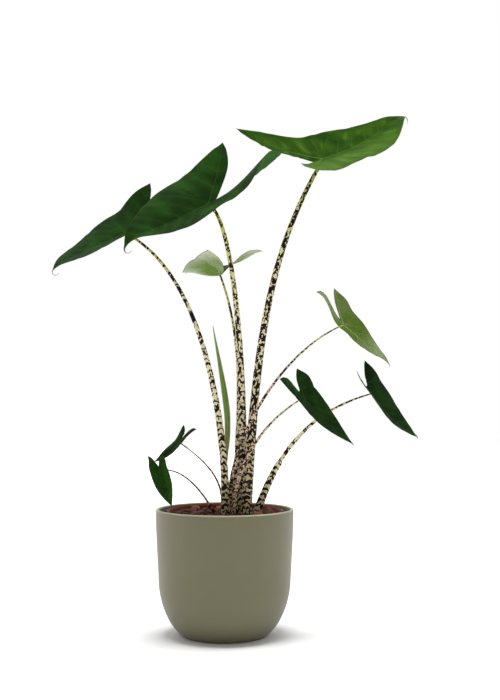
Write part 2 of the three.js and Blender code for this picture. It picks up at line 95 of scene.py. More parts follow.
GROW_POT_RIM_RADIUS = 85
GROW_POT_BASE_RADIUS = 66
GROW_POT_TOP = 178
GROW_POT_WALL = 1.4
GROW_POT_RIM_BAND = 9      # height of the thicker band under the rim
GROW_POT_RIM_OUTSET = 2    # how far that band stands out
GROW_POT_ROUNDING = 3      # of the edge of its floor
GROW_POT_EDGE = 0.6        # of its rim and its band
GROW_POT_RIM_STEP = 0.9    # height of the thin lip round the rim
GROW_POT_LIP = 1.6         # width of that lip

SOIL_EDGE_TOP = 166
SOIL_MOUND_TOP = 174
SOIL_MOUND_RADIUS = 46

NOTCH_CLEARANCE = 1        # each rear lobe keeps this far from the line behind the joint
LIFT_START = 0.12          # share of a rear lobe that stays level, at least down to the notch
LOBE_FOLD_REACH = 0.7      # share of a rear lobe over which its added slope builds up
TIP_FOLD_REACH = 0.7       # share of the length over which the slope at the tip builds up
DROOP_POWER = 1.3          # above 1 keeps the midrib straighter near the joint
TIP_CURL_START = 0.8       # share of the midrib where the tip starts to curl
STALK_TAPER_POWER = 0.8    # below 1 thins the stalk faster near its foot
# Outline ahead of the joint: share of the length, share of that half's width, and what is
# added to the latter at a fullness of 1
MARGIN_SHARES = (
    (1, 0.03, 0), (0.93, 0.12, 0.16), (0.8, 0.33, 0.18), (0.55, 0.68, 0.1), (0.28, 0.93, 0),
    (0, 1, 0))
# Notch outline: share of the rear lobe, and share of its inset from the lobe's rib
NOTCH_SHARES = ((0.3, 0.8), (0.6, 1), (0.85, 0.6))


def half(outline, bend, fullness=0):
    """One half of a blade. The outline is its width, its rear lobe's length, that lobe's angle
    from the midrib, and how far the lobe's outer and inner side stand out from its rib, as
    shares of its length. The bend is the slope of the half, what is added on the lobe and at
    the tip, the bend towards the margin, and how far the lobe bends up."""
    width, lobe, splay, bulge, inset = outline
    fold, lobe_fold, tip_fold, cup, lift = bend
    return {
        "width": width, "lobe": lobe, "splay": splay, "bulge": bulge, "inset": inset,
        "fold": fold, "lobe_fold": lobe_fold, "tip_fold": tip_fold, "cup": cup, "lift": lift,
        "fullness": fullness,
    }


# Each leaf: its joint, the turn of its blade (heading, pitch, roll), the sizes and bends of the
# blade, its two halves, and the foot and the two handles of the curve of its stalk
LEAVES = {
    "upper_left": {
        "joint": (-146, 2, 583), "turn": (189, -26, -26),
        "length": 121, "notch": 10, "droop": -1, "tip_curl": 32, "drip": 17, "drip_curl": 190,
        "left": half((59, 94, 23, 0.1, 0.1), (10, -2, -6, 14, -40), fullness=0.1),
        "right": half((63, 97, 34, 0.09, 0.1), (18, 21, -13, -12, 25), fullness=0.3),
        "path": ((1, -6, 166), (3, -8, 308), (-32, -8, 523)), "radii": (6.6, 1.7),
        "slot": "leaf_dark_green",
    },
    "upper_middle": {
        "joint": (-24, -45, 618), "turn": (210, -30, -26),
        "length": 151, "notch": 15, "droop": -13, "tip_curl": 49, "drip": 21, "drip_curl": 190,
        "left": half((56, 121, 39, 0.12, 0.23), (27, 43, -19, -13, -38)),
        "right": half((74, 126, 36, 0.04, 0.11), (34, 12, -6, -41, 21)),
        "path": ((22, 18, 165), (33, 18, 311), (20, -20, 596)), "radii": (8.2, 2.4),
        "slot": "leaf_dark_green",
    },
    "upper_right": {
        "joint": (151, 70, 711), "turn": (37, 21, 7),
        "length": 207, "notch": 21, "droop": -24, "tip_curl": 31, "drip": 17, "drip_curl": 120,
        "left": half((55, 151, 36, 0.02, 0.07), (38, 5, -8, 10, 10), fullness=0.2),
        "right": half((74, 156, 37, 0.03, 0.11), (5, 0, -9, -22, 36), fullness=0.4),
        "path": ((30, -5, 163), (45, 2, 371), (52, 40, 540)), "radii": (8.4, 3),
        "slot": "leaf_light_green",
    },
    "young_back": {
        "joint": (-8, 60, 529), "turn": (117, 3, -36),
        "length": 105, "notch": 8, "droop": -22, "tip_curl": 7, "drip": 13, "drip_curl": 120,
        "left": half((50, 80, 38, 0.06, 0.16), (70, 8, -28, -20, 24), fullness=0.4),
        "right": half((27, 88, 50, -0.04, 0.1), (30, 25, -9, -50, 42)),
        "path": ((14, 31, 163), (15, 27, 280), (37, 40, 407)), "radii": (4.2, 1.5),
        "slot": "leaf_pale_green",
    },
    "middle_right": {
        "joint": (178, 20, 450), "turn": (350, -43, -46),
        "length": 91, "notch": 8, "droop": -8, "tip_curl": 31, "drip": 5, "drip_curl": 120,
        "left": half((27, 82, 50, -0.05, 0.11), (54, 70, -13, -50, -38), fullness=0.4),
        "right": half((26, 58, 30, 0.04, 0.07), (1, 36, -20, 22, 4)),
        "path": ((11, 8, 165), (-9, -14, 255), (71, -40, 405)), "radii": (4.2, 1.1),
        "slot": "leaf_pale_green",
    },
    "lower_front": {
        "joint": (112, -50, 341), "turn": (358, -50, 43),
        "length": 95, "notch": 11, "droop": -18, "tip_curl": -2, "drip": 4, "drip_curl": 120,
        "left": half((30, 42, 27, 0.05, 0.11), (8, 40, -4, -10, -2)),
        "right": half((26, 48, 28, -0.04, 0.32), (30, -8, -10, -18, 4)),
        "path": ((12, -15, 166), (11, -20, 230), (43, -34, 301)), "radii": (3.6, 0.9),
        "slot": "leaf_dark_green",
    },
    "lower_right": {
        "joint": (219, 30, 347), "turn": (2, -54, 43),
        "length": 94, "notch": 13, "droop": -30, "tip_curl": 0, "drip": 4, "drip_curl": 120,
        "left": half((41, 52, 25, -0.02, 0.07), (8, 24, -5, -16, 9)),
        "right": half((36, 49, 23, -0.02, 0.21), (25, 0, -10, 21, 20)),
        "path": ((44, 9, 165), (69, 6, 238), (106, 14, 316)), "radii": (5.4, 1.1),
        "slot": "leaf_dark_green",
    },
    "low_left_front": {
        "joint": (-92, -40, 238), "turn": (324, -67, 57),
        "length": 53, "notch": 6, "droop": 14, "tip_curl": 19, "drip": 3, "drip_curl": 120,
        "left": half((21, 28, 32, 0.05, 0.14), (45, -9, -8, 15, 44)),
        "right": half((21, 30, 37, 0.03, 0.18), (38, 10, -6, 31, 10)),
        "path": ((-11, -10, 166), (-21, -14, 188), (-53, -28, 244)), "radii": (1.9, 0.8),
        "slot": "leaf_dark_green",
    },
    "low_left_back": {
        "joint": (-66, -20, 277), "turn": (188, -51, -11),
        "length": 47, "notch": 6, "droop": -28, "tip_curl": -25, "drip": 2, "drip_curl": 120,
        "left": half((13, 34, 30, -0.01, 0.28), (19, 6, -12, -40, -19)),
        "right": half((15, 31, 38, 0.07, 0.27), (34, 12, 14, -50, 10)),
        "path": ((-7, 8, 164), (5, 6, 216), (-22, -8, 245)), "radii": (1.9, 0.8),
        "slot": "leaf_dark_green",
    },
}

ROLLED_LEAF_PATH = ((-3, 20, 164), (1, 19, 250), (3, 16, 320), (-18, 13, 447))
ROLLED_LEAF_RADII = (2.4, 2.6, 3.6, 4.6, 4.3, 2.6, 0.5)


# ------------------------------------------------------------------ small helpers

def linear(hex_colour):
    """sRGB hex such as "75715A" to linear RGBA."""
    channels = [int(hex_colour[i:i + 2], 16) / 255 for i in (0, 2, 4)]
    return tuple(
        c / 12.92 if c <= 0.04045 else ((c + 0.055) / 1.055) ** 2.4 for c in channels
    ) + (1.0,)


def clamp01(value):
    return np.clip(value, 0.0, 1.0)


def smooth(value):
    value = clamp01(value)
    return value * value * (3 - 2 * value)


def mix(low, high, share):
    return low + (high - low) * share


def new_mesh_object(name, points_mm, faces):
    mesh = bpy.data.meshes.new(name)
    mesh.from_pydata([tuple(p * MM) for p in np.asarray(points_mm, dtype=float)], [], faces)
    mesh.shade_smooth()
    piece = bpy.data.objects.new(name, mesh)
    bpy.context.scene.collection.objects.link(piece)
    return piece


def store(piece, name, values):
    """Writes one number, or one vector, for each vertex."""
    values = np.asarray(values, dtype=np.float32)
    kind, field = ("FLOAT", "value") if values.ndim == 1 else ("FLOAT_VECTOR", "vector")
    attribute = piece.data.attributes.new(name, kind, "POINT")
    attribute.data.foreach_set(field, values.ravel())


def hand_over(piece, slot, *nodes):
    """Ties a piece to the plant's one body and hides the CAD nodes it stands for. The slot is not
    used.
    """
    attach(piece, "root")
    if nodes:
        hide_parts(*nodes)


def spline_through(points, count=1600):
    """Catmull-Rom curve through points, as three.js draws a SplineCurve."""
    points = np.asarray(points, dtype=float)
    last = len(points) - 1
    t = np.linspace(0, last, count)
    i = np.minimum(t.astype(int), last - 1)
    w = (t - i)[:, None]
    p0, p1 = points[np.maximum(i - 1, 0)], points[i]
    p2, p3 = points[i + 1], points[np.minimum(i + 2, last)]
    v0, v1 = (p2 - p0) / 2, (p3 - p1) / 2
    curve = (2 * p1 - 2 * p2 + v0 + v1) * w**3 + (-3 * p1 + 3 * p2 - 2 * v0 - v1) * w**2
    curve += v0 * w + p1
    return curve


def lengths_along(line):
    """How far each point of a line is from its start, along the line."""
    return np.concatenate(([0], np.cumsum(np.linalg.norm(np.diff(line, axis=0), axis=1))))


def along(curve, shares):
    """Points at shares of a polyline's length."""
    reached = lengths_along(curve)
    wanted = np.asarray(shares) * reached[-1]
    return np.stack([np.interp(wanted, reached, curve[:, k]) for k in range(curve.shape[1])], 1)


# ------------------------------------------------------------------ material helpers

def add_node(tree, kind, inputs=None, ramp=None, **settings):
    """Adds a node, with its settings, its socket values and the links into it. Where a node
    is given for a socket, its first output in use is linked."""
    made = tree.nodes.new(kind)
    for name, value in settings.items():
        setattr(made, name, value)
    if ramp:
        elements = made.color_ramp.elements
        while len(elements) < len(ramp):
            elements.new(1.0)
        for element, (place, colour) in zip(elements, ramp):
            element.position = place
            element.color = colour
    for name, value in (inputs or {}).items():
        if isinstance(value, bpy.types.Node):
            value = next(output for output in value.outputs if output.enabled)
        if isinstance(value, bpy.types.NodeSocket):
            tree.links.new(value, made.inputs[name])
        else:
            made.inputs[name].default_value = value
    return made


def new_material(name):
    material = bpy.data.materials.new(name)
    material.use_nodes = True
    tree = material.node_tree
    tree.nodes.clear()
    return material, tree


def finish_material(tree, shader):
    """Ends the material in a shader, and spreads its nodes so that they can be read."""
    add_node(tree, "ShaderNodeOutputMaterial", {"Surface": shader})
    for i, item in enumerate(tree.nodes):
        item.location = (220 * (i // 6), -190 * (i % 6))


# ------------------------------------------------------------------ settings a user would change

def colour_property(name, hex_colour, description):
    return bpy.props.FloatVectorProperty(
        name=name, description=description, subtype="COLOR", size=4, min=0, max=1,
        default=linear(hex_colour))


def length_property(name, millimetres, description):
    return bpy.props.FloatProperty(
        name=name, description=description, subtype="DISTANCE", unit="LENGTH",
        default=millimetres * MM, min=0)


class ZebrinaPlanterSettings(bpy.types.PropertyGroup):
    glaze: colour_property("Glaze", "646045", "Matt glaze of the planter")
    glaze_light: colour_property("Glaze, light", "666247", "Lighter clouds in the glaze")
    # Painted highlight: this pale colour is painted over the lip, where overhead light would catch
    # it
    glaze_lip_highlight: colour_property("Glaze, lip", "A29E84", "Thin, pale glaze over the lip")
    grow_pot: colour_property("Inner pot", "5A1A0C", "Moulded plastic of the inner pot")
    mottle_size: length_property("Mottle size", 24, "Size of the clouds in the glaze")


class ZebrinaSoilSettings(bpy.types.PropertyGroup):
    peat: colour_property("Peat", "170F0C", "Damp peat between the chips")
    bark: colour_property("Bark", "5A2718", "Bark chips on the soil")
    bark_count: bpy.props.IntProperty(
        name="Bark chips", description="How many bark chips lie on the soil",
        default=260, min=0, max=2000)
    crumb_size: length_property("Crumb size", 4, "Typical size of a soil crumb")


class ZebrinaStalkSettings(bpy.types.PropertyGroup):
    ground: colour_property("Ground", "DAD2AA", "Cream ground between the bands")
    blush: colour_property("Blush", "C6A687", "Pinkish patches in the ground")
    foot: colour_property("Ground, foot", "BDB083", "Olive ground at the foot")
    top: colour_property("Ground, top", "A8AC46", "Yellow-green ground near the blade")
    fringe: colour_property("Band fringe", "5F3E27", "Brown fringe round a dark band")
    band: colour_property("Band", "170D07", "Dark zebra bands")
    dark_band: colour_property("Dark stalk band", "19130C", "Bands of the darkest stalk")
    thin_ground: colour_property("Thin stalk ground", "CDB59A", "Pinkish ground of thin stalks")
    ruddy_ground: colour_property("Ruddy ground", "9A6A54", "Ground of the lowest stalks")
    thin_band: colour_property("Thin stalk band", "371B13", "Red-brown bands of thin stalks")


class ZebrinaBladeSettings(bpy.types.PropertyGroup):
    dark: colour_property("Dark top", "214314", "Upper side of the dark blades")
    dark_deep: colour_property("Dark top, deep", "182E0F", "Darker clouds on the dark blades")
    light: colour_property("Light top", "375B13", "Upper side of the lightest blade")
    light_deep: colour_property("Light top, deep", "1E3E0D", "Darker clouds on that blade")
    # Painted glow: the yellow-green painted where light would shine through a blade
    glow: colour_property("Glow", "6E9A32", "Yellow-green where light shines through")
    vein: colour_property("Veins", "5C7A40", "Veins on the upper side")
    light_vein: colour_property("Light veins", "7EA050", "Veins of the lightest blade")
    # The colours near the tip (Underside, Greening underside, Mature underside) are partly the
    # skin's own paler colour and partly painted sheen
    under: colour_property("Underside", "B2B8A2", "Lower side of the blades, near the tip")
    under_deep: colour_property("Underside, deep", "587229", "Lower side, near the joint")
    under_rib: colour_property("Underside ribs", "8E9E6C", "Ribs on the lower side")
    greening_under: colour_property(
        "Greening underside", "94A474", "Lower side of a half-grown blade")
    mature_under: colour_property("Mature underside", "2C5420", "Lower side of a grown blade")
    mature_deep: colour_property(
        "Mature underside, deep", "284C18", "Lower side of a grown blade, near the joint")
    edge: colour_property("Edge", "352A15", "Thin red-brown edge line")
    light_edge: colour_property("Light edge", "799135", "Edge line of the lightest blade")
    tissue: length_property("Tissue", 0.45, "Thickness of the blade between its veins")


class ZebrinaStageSettings(bpy.types.PropertyGroup):
    floor: colour_property("Floor", "F4F4F4", "Plain pale floor")
    camera_lens: bpy.props.FloatProperty(
        name="Lens", description="Focal length for a 36 mm high frame",
        subtype="DISTANCE_CAMERA", default=52.7, min=1)
    room_front: bpy.props.FloatProperty(
        name="Room light, front", description="Light from the room on the viewer's side",
        default=0.4, min=0)
    room_back: bpy.props.FloatProperty(
        name="Room light, back", description="Light from the wall behind the plant",
        default=1.25, min=0)
    overhead: bpy.props.FloatProperty(
        name="Overhead light", description="Strength of the large soft light overhead",
        default=3.9, min=0)


SETTINGS = {
    "zebrina_planter": ZebrinaPlanterSettings,
    "zebrina_soil": ZebrinaSoilSettings,
    "zebrina_stalk": ZebrinaStalkSettings,
    "zebrina_blade": ZebrinaBladeSettings,
    "zebrina_stage": ZebrinaStageSettings,
}


# ------------------------------------------------------------------ materials

# Sizes of what the surfaces show, in millimetres. Glaze pits, pores and leaf cells are 0.05 to
# 0.3 mm on the real ones; here they are drawn as coarse as they need to be to show.
GLAZE_PIT = 1.1
DUST_PATCH = 7
BARK_LAYER = 1.6
PERLITE_PORE = 0.5
ROLLER_MARK = 4
STALK_WANDER = 6.25        # over which the pigment patches of a stalk are pushed aside
STALK_BLUSH = 7.6923       # a pinkish patch in a stalk's ground
LEAF_CLOUD = 34            # a lighter or darker cloud on a blade's upper side
LEAF_PAINTED_GLOW = 24             # a patch painted with the glow of light shining through
LEAF_CELL = 2.2
VEIN_SWAY = 30             # over which the side veins sway
UNDERSIDE_CLOUD = 30

DARKEST_BARK = 0.28        # share of the bark's own colour in its cracks
PALEST_BARK = "7E5C44"
PALEST_PEAT = "5A3A28"
PERLITE_GRAIN, PERLITE_PORE_SHADE = "D8D4C8", "9C968A"
ROLLED_LEAF_COURSE = ((0.0, "9C9166"), (0.42, "7E8C44"), (0.62, "66842F"), (0.92, "7C9448"))


def matt_glaze(settings):
    """Stoneware with a matt glaze, cast and sprayed: dull, softly clouded, faintly pitted."""
    material, tree = new_material("Matt Glazed Stoneware")
    place = add_node(tree, "ShaderNodeTexCoord").outputs["Object"]
    clouds = add_node(tree, "ShaderNodeTexNoise", {
        "Vector": place, "Scale": 1 / settings.mottle_size, "Detail": 5.0, "Roughness": 0.62})
    pits = add_node(tree, "ShaderNodeTexNoise", {
        "Vector": place, "Scale": 1 / (GLAZE_PIT * MM), "Detail": 3.0, "Roughness": 0.6})
    both = add_node(tree, "ShaderNodeMath", {
        0: add_node(tree, "ShaderNodeMath", {0: clouds, 1: 0.75}, operation="MULTIPLY"),
        1: add_node(tree, "ShaderNodeMath", {0: pits, 1: 0.25}, operation="MULTIPLY")},
        operation="ADD")
    clouded = add_node(tree, "ShaderNodeValToRGB", {"Fac": both}, ramp=(
        (0.34, settings.glaze), (0.66, settings.glaze_light)))
    # Painted highlight: the rounded lip is painted paler, where the overhead light would catch it
    height = add_node(tree, "ShaderNodeSeparateXYZ", {"Vector": place}).outputs["Z"]
    lip_highlight = add_node(tree, "ShaderNodeMapRange", {
        "Value": height, "From Min": (PLANTER_HEIGHT - LIP_ROUNDING) * MM,
        "From Max": (PLANTER_HEIGHT - LIP_ROUNDING / 4) * MM},
        interpolation_type="SMOOTHSTEP")
    colour = add_node(tree, "ShaderNodeMix", {
        "Factor": lip_highlight, "A": clouded, "B": settings.glaze_lip_highlight}, data_type="RGBA")
    bump = add_node(tree, "ShaderNodeBump", {
        "Height": pits, "Strength": 0.25, "Distance": 0.12 * MM})
    shader = add_node(tree, "ShaderNodeBsdfPrincipled", {
        "Base Color": colour, "Normal": bump, "Roughness": 0.55, "IOR": 1.5,
        "Sheen Weight": 0.15, "Sheen Roughness": 0.5})
    finish_material(tree, shader)
    return material


def moulded_polypropylene(settings):
    """Injection-moulded polypropylene: an even red-brown, dull, with faint patches of dust."""
    material, tree = new_material("Moulded Polypropylene")
    place = add_node(tree, "ShaderNodeTexCoord").outputs["Object"]
    dust = add_node(tree, "ShaderNodeTexNoise", {
        "Vector": place, "Scale": 1 / (DUST_PATCH * MM), "Detail": 6.0, "Roughness": 0.7})
    dusty = tuple(min(1.0, c * 1.3 + 0.002) for c in settings.grow_pot[:3]) + (1.0,)
    colour = add_node(tree, "ShaderNodeValToRGB", {"Fac": dust}, ramp=(
        (0.45, settings.grow_pot), (0.75, dusty)))
    bump = add_node(tree, "ShaderNodeBump", {
        "Height": dust, "Strength": 0.2, "Distance": 0.15 * MM})
    shader = add_node(tree, "ShaderNodeBsdfPrincipled", {
        "Base Color": colour, "Normal": bump, "Roughness": 0.6, "IOR": 1.49,
        "Specular IOR Level": 0.15})
    finish_material(tree, shader)
    return material


def damp_peat(settings):
    """Damp peat and coir: nearly black, with brown fibres and a dull damp shine."""
    material, tree = new_material("Damp Peat")
    place = add_node(tree, "ShaderNodeTexCoord").outputs["Object"]
    lumps = add_node(tree, "ShaderNodeTexNoise", {
        "Vector": place, "Scale": 1 / settings.crumb_size, "Detail": 8.0, "Roughness": 0.7})
    lighter = tuple(min(1.0, c * 2.6 + 0.004) for c in settings.peat[:3]) + (1.0,)
    colour = add_node(tree, "ShaderNodeValToRGB", {"Fac": lumps}, ramp=(
        (0.38, settings.peat), (0.62, lighter), (0.8, linear(PALEST_PEAT))))
    bump = add_node(tree, "ShaderNodeBump", {
        "Height": lumps, "Strength": 0.9, "Distance": 1.2 * MM})
    shader = add_node(tree, "ShaderNodeBsdfPrincipled", {
        "Base Color": colour, "Normal": bump, "Roughness": 0.85, "IOR": 1.4})
    finish_material(tree, shader)
    return material


def broken_bark(settings):
    """Broken pine bark: red-brown to grey-brown plates with a fibrous, layered face."""
    material, tree = new_material("Broken Pine Bark")
    place = add_node(tree, "ShaderNodeTexCoord").outputs["Object"]
    tint = add_node(tree, "ShaderNodeAttribute", attribute_name="tint").outputs["Fac"]
    layers = add_node(tree, "ShaderNodeTexNoise", {
        "Vector": place, "Scale": 1 / (BARK_LAYER * MM), "Detail": 5.0, "Roughness": 0.65})
    both = add_node(tree, "ShaderNodeMath", {
        0: add_node(tree, "ShaderNodeMath", {0: tint, 1: 0.6}, operation="MULTIPLY"),
        1: add_node(tree, "ShaderNodeMath", {0: layers, 1: 0.4}, operation="MULTIPLY")},
        operation="ADD")
    dark = tuple(c * DARKEST_BARK for c in settings.bark[:3]) + (1.0,)
    colour = add_node(tree, "ShaderNodeValToRGB", {"Fac": both}, ramp=(
        (0.2, dark), (0.6, settings.bark), (0.95, linear(PALEST_BARK))))
    bump = add_node(tree, "ShaderNodeBump", {
        "Height": layers, "Strength": 0.6, "Distance": 0.5 * MM})
    shader = add_node(tree, "ShaderNodeBsdfPrincipled", {
        "Base Color": colour, "Normal": bump, "Roughness": 0.8, "IOR": 1.45})
    finish_material(tree, shader)
    return material


def expanded_perlite():
    """Expanded perlite: off-white, chalky, full of fine pores, with painted grey shade in them."""
    material, tree = new_material("Expanded Perlite")
    place = add_node(tree, "ShaderNodeTexCoord").outputs["Object"]
    pores = add_node(tree, "ShaderNodeTexVoronoi", {
        "Vector": place, "Scale": 1 / (PERLITE_PORE * MM)})
    # Painted shade: greyer away from each pore cell's middle, as shade in the pores
    colour = add_node(tree, "ShaderNodeValToRGB", {"Fac": pores}, ramp=(
        (0.1, linear(PERLITE_GRAIN)), (0.7, linear(PERLITE_PORE_SHADE))))
    shader = add_node(tree, "ShaderNodeBsdfPrincipled", {
        "Base Color": colour, "Roughness": 0.9, "IOR": 1.5})
    finish_material(tree, shader)
    return material


def zebra_stalk(name, colours, pattern):
    """Fleshy leaf stalk: satin cream skin under dark pigment, finer at its foot.

    "straight" unrolls each stalk to a straight rod in millimetres, "share" runs from its foot
    (0) to its blade (1), and "cover" is what is added to the share of it that is dark. The
    pattern gives the size of a pigment patch across and along the stalk, the distance from
    crossband to crossband, and how strongly the patches line up in crossbands.
    """
    material, tree = new_material(name)
    straight = add_node(tree, "ShaderNodeAttribute", attribute_name="straight").outputs["Vector"]
    share, cover = (
        add_node(tree, "ShaderNodeAttribute", attribute_name=label).outputs["Fac"]
        for label in ("share", "cover"))
    wander = add_node(tree, "ShaderNodeTexNoise", {
        "Vector": straight, "Scale": 1 / STALK_WANDER, "Detail": 1.0}).outputs["Color"]
    warp = add_node(tree, "ShaderNodeVectorMath", {0: wander, 1: (7, 7, 14)},
                    operation="MULTIPLY")
    moved = add_node(tree, "ShaderNodeVectorMath", {0: straight, 1: warp}, operation="ADD")

    def patches(across, along_stalk):
        squeezed = add_node(tree, "ShaderNodeVectorMath", {
            0: moved, 1: (1 / across, 1 / across, 1 / along_stalk)}, operation="MULTIPLY")
        return add_node(tree, "ShaderNodeTexNoise", {
            "Vector": squeezed, "Scale": 1.0, "Detail": 0.6, "Roughness": 0.5})

    foot = add_node(tree, "ShaderNodeMapRange", {
        "Value": share, "From Min": 0.05, "From Max": 0.35, "To Min": 1.0, "To Max": 0.0},
        interpolation_type="SMOOTHSTEP")
    net = add_node(tree, "ShaderNodeMix", {
        "Factor": foot, "A": patches(pattern["across"], pattern["along"]),
        "B": patches(pattern["across"] * 0.75, pattern["along"] * 0.6)}, data_type="FLOAT")
    # Crossbands dip in the middle of the stalk's side, like a row of shallow chevrons
    side = add_node(tree, "ShaderNodeSeparateXYZ", {"Vector": straight}).outputs["X"]
    height = add_node(tree, "ShaderNodeSeparateXYZ", {"Vector": moved}).outputs["Z"]
    off_middle = add_node(tree, "ShaderNodeMath", {0: side}, operation="ABSOLUTE")
    dip = add_node(tree, "ShaderNodeMath", {0: off_middle, 1: 0.6}, operation="MULTIPLY")
    chevron = add_node(tree, "ShaderNodeMath", {0: height, 1: dip}, operation="ADD")
    turns = add_node(tree, "ShaderNodeMath", {0: chevron, 1: TURN / pattern["spacing"]},
                     operation="MULTIPLY")
    rings = add_node(tree, "ShaderNodeMath", {0: turns}, operation="SINE")
    at_foot = add_node(tree, "ShaderNodeMath", {0: foot, 1: 0.08}, operation="MULTIPLY")
    aligned = add_node(tree, "ShaderNodeMath", {0: at_foot, 1: pattern["rings"]},
                       operation="ADD")
    banding = add_node(tree, "ShaderNodeMath", {0: rings, 1: aligned}, operation="MULTIPLY")
    covered = add_node(tree, "ShaderNodeMath", {0: net, 1: cover}, operation="ADD")
    pigment = add_node(tree, "ShaderNodeMath", {0: covered, 1: banding}, operation="ADD")
    ground = add_node(tree, "ShaderNodeValToRGB", {"Fac": share}, ramp=(
        (0.0, colours["foot"]), (0.25, colours["ground"]), (0.6, colours["ground"]),
        (0.95, colours["top"])))
    flush = add_node(tree, "ShaderNodeTexNoise", {
        "Vector": straight, "Scale": 1 / STALK_BLUSH, "Detail": 1.0})
    flushed = add_node(tree, "ShaderNodeMapRange", {
        "Value": flush, "From Min": 0.42, "From Max": 0.66, "To Min": 0.0, "To Max": 0.55},
        interpolation_type="SMOOTHSTEP")
    squared = add_node(tree, "ShaderNodeMath", {0: share, 1: share}, operation="MULTIPLY")
    below_top = add_node(tree, "ShaderNodeMath", {0: 1.0, 1: squared}, operation="SUBTRACT")
    blushing = add_node(tree, "ShaderNodeMath", {0: flushed, 1: below_top},
                        operation="MULTIPLY")
    colour = add_node(tree, "ShaderNodeMix", {
        "Factor": blushing, "A": ground, "B": colours["blush"]}, data_type="RGBA")
    for start, full, paint in ((0.47, 0.5, "fringe"), (0.49, 0.52, "band")):
        stained = add_node(tree, "ShaderNodeMapRange", {
            "Value": pigment, "From Min": start, "From Max": full},
            interpolation_type="SMOOTHSTEP")
        colour = add_node(tree, "ShaderNodeMix", {
            "Factor": stained, "A": colour, "B": colours[paint]}, data_type="RGBA")
    drawn_out = add_node(tree, "ShaderNodeVectorMath", {0: straight, 1: (1.4, 1.4, 0.12)},
                         operation="MULTIPLY")
    strands = add_node(tree, "ShaderNodeTexNoise", {
        "Vector": drawn_out, "Scale": 1.0, "Detail": 1.0})
    bump = add_node(tree, "ShaderNodeBump", {
        "Height": strands, "Strength": 0.12, "Distance": 0.2 * MM})
    shader = add_node(tree, "ShaderNodeBsdfPrincipled", {
        "Base Color": colour, "Normal": bump, "Roughness": 0.48, "IOR": 1.42,
        "Specular IOR Level": 0.16})
    finish_material(tree, shader)
    return material


def vein_distance(tree, flat, gap):
    """Distance in millimetres to the nearest side vein, and a hump from vein to vein."""
    phase = add_node(tree, "ShaderNodeAttribute", attribute_name="phase").outputs["Fac"]
    sway = add_node(tree, "ShaderNodeTexNoise", {
        "Vector": flat, "Scale": 1 / VEIN_SWAY, "Detail": 1.0})
    centred = add_node(tree, "ShaderNodeMath", {0: sway, 1: 0.5}, operation="SUBTRACT")
    sideways = add_node(tree, "ShaderNodeMath", {0: centred, 1: 0.22}, operation="MULTIPLY")
    swayed = add_node(tree, "ShaderNodeMath", {0: phase, 1: sideways}, operation="ADD")
    shifted = add_node(tree, "ShaderNodeMath", {0: swayed, 1: 0.5}, operation="ADD")
    part = add_node(tree, "ShaderNodeMath", {0: shifted}, operation="FRACT")
    signed = add_node(tree, "ShaderNodeMath", {0: part, 1: 0.5}, operation="SUBTRACT")
    nearest = add_node(tree, "ShaderNodeMath", {0: signed}, operation="ABSOLUTE")
    away = add_node(tree, "ShaderNodeMath", {0: nearest, 1: gap}, operation="MULTIPLY")
    between = add_node(tree, "ShaderNodeMath", {0: nearest, 1: 2.0}, operation="MULTIPLY")
    return away, between


def painted_backlight_glow(tree, flat, out, between, share):
    """How strongly a thin young leaf is painted with a yellow-green glow, as of light shining
    through from behind, in long patches between its veins; the half turned to the light, on the
    blade's right, is painted with a little of that glow throughout."""
    patches = add_node(tree, "ShaderNodeTexNoise", {
        "Vector": flat, "Scale": 1 / LEAF_PAINTED_GLOW, "Detail": 1.0})
    strength = add_node(tree, "ShaderNodeMapRange", {
        "Value": patches, "From Min": 0.3, "From Max": 0.75, "To Min": 0.0, "To Max": share},
        interpolation_type="SMOOTHSTEP")
    inward = add_node(tree, "ShaderNodeMath", {0: 1.0, 1: out}, operation="SUBTRACT")
    fourfold = add_node(tree, "ShaderNodeMath", {0: out, 1: 4.0}, operation="MULTIPLY")
    middle = add_node(tree, "ShaderNodeMath", {0: fourfold, 1: inward}, operation="MULTIPLY")
    clear = add_node(tree, "ShaderNodeMath", {0: between, 1: between}, operation="MULTIPLY")
    open_tissue = add_node(tree, "ShaderNodeMath", {0: middle, 1: clear}, operation="MULTIPLY")
    patchy = add_node(tree, "ShaderNodeMath", {0: strength, 1: open_tissue},
                      operation="MULTIPLY")
    softened = add_node(tree, "ShaderNodeMath", {0: patchy, 1: 0.6}, operation="MULTIPLY")
    # Painted light: the half turned to the light, on the blade's right, is painted a little
    # yellower
    sideways = add_node(tree, "ShaderNodeSeparateXYZ", {"Vector": flat}).outputs["Y"]
    painted_sunned_half = add_node(tree, "ShaderNodeMapRange", {
        "Value": sideways, "From Min": 0.0, "From Max": -45.0, "To Min": 0.0, "To Max": 0.22},
        interpolation_type="SMOOTHSTEP")
    return add_node(tree, "ShaderNodeMath", {0: softened, 1: painted_sunned_half}, operation="ADD")


def leaf_shader(tree, colour, bump, roughness, shine, translucent):
    """Leaf skin that lets a share of the light behind it through."""
    skin = add_node(tree, "ShaderNodeBsdfPrincipled", {
        "Base Color": colour, "Normal": bump, "Roughness": roughness, "IOR": 1.42,
        "Specular IOR Level": shine})
    glow = add_node(tree, "ShaderNodeBsdfTranslucent", {"Color": colour})
    return add_node(tree, "ShaderNodeMixShader", {"Fac": translucent, 1: skin, 2: glow})


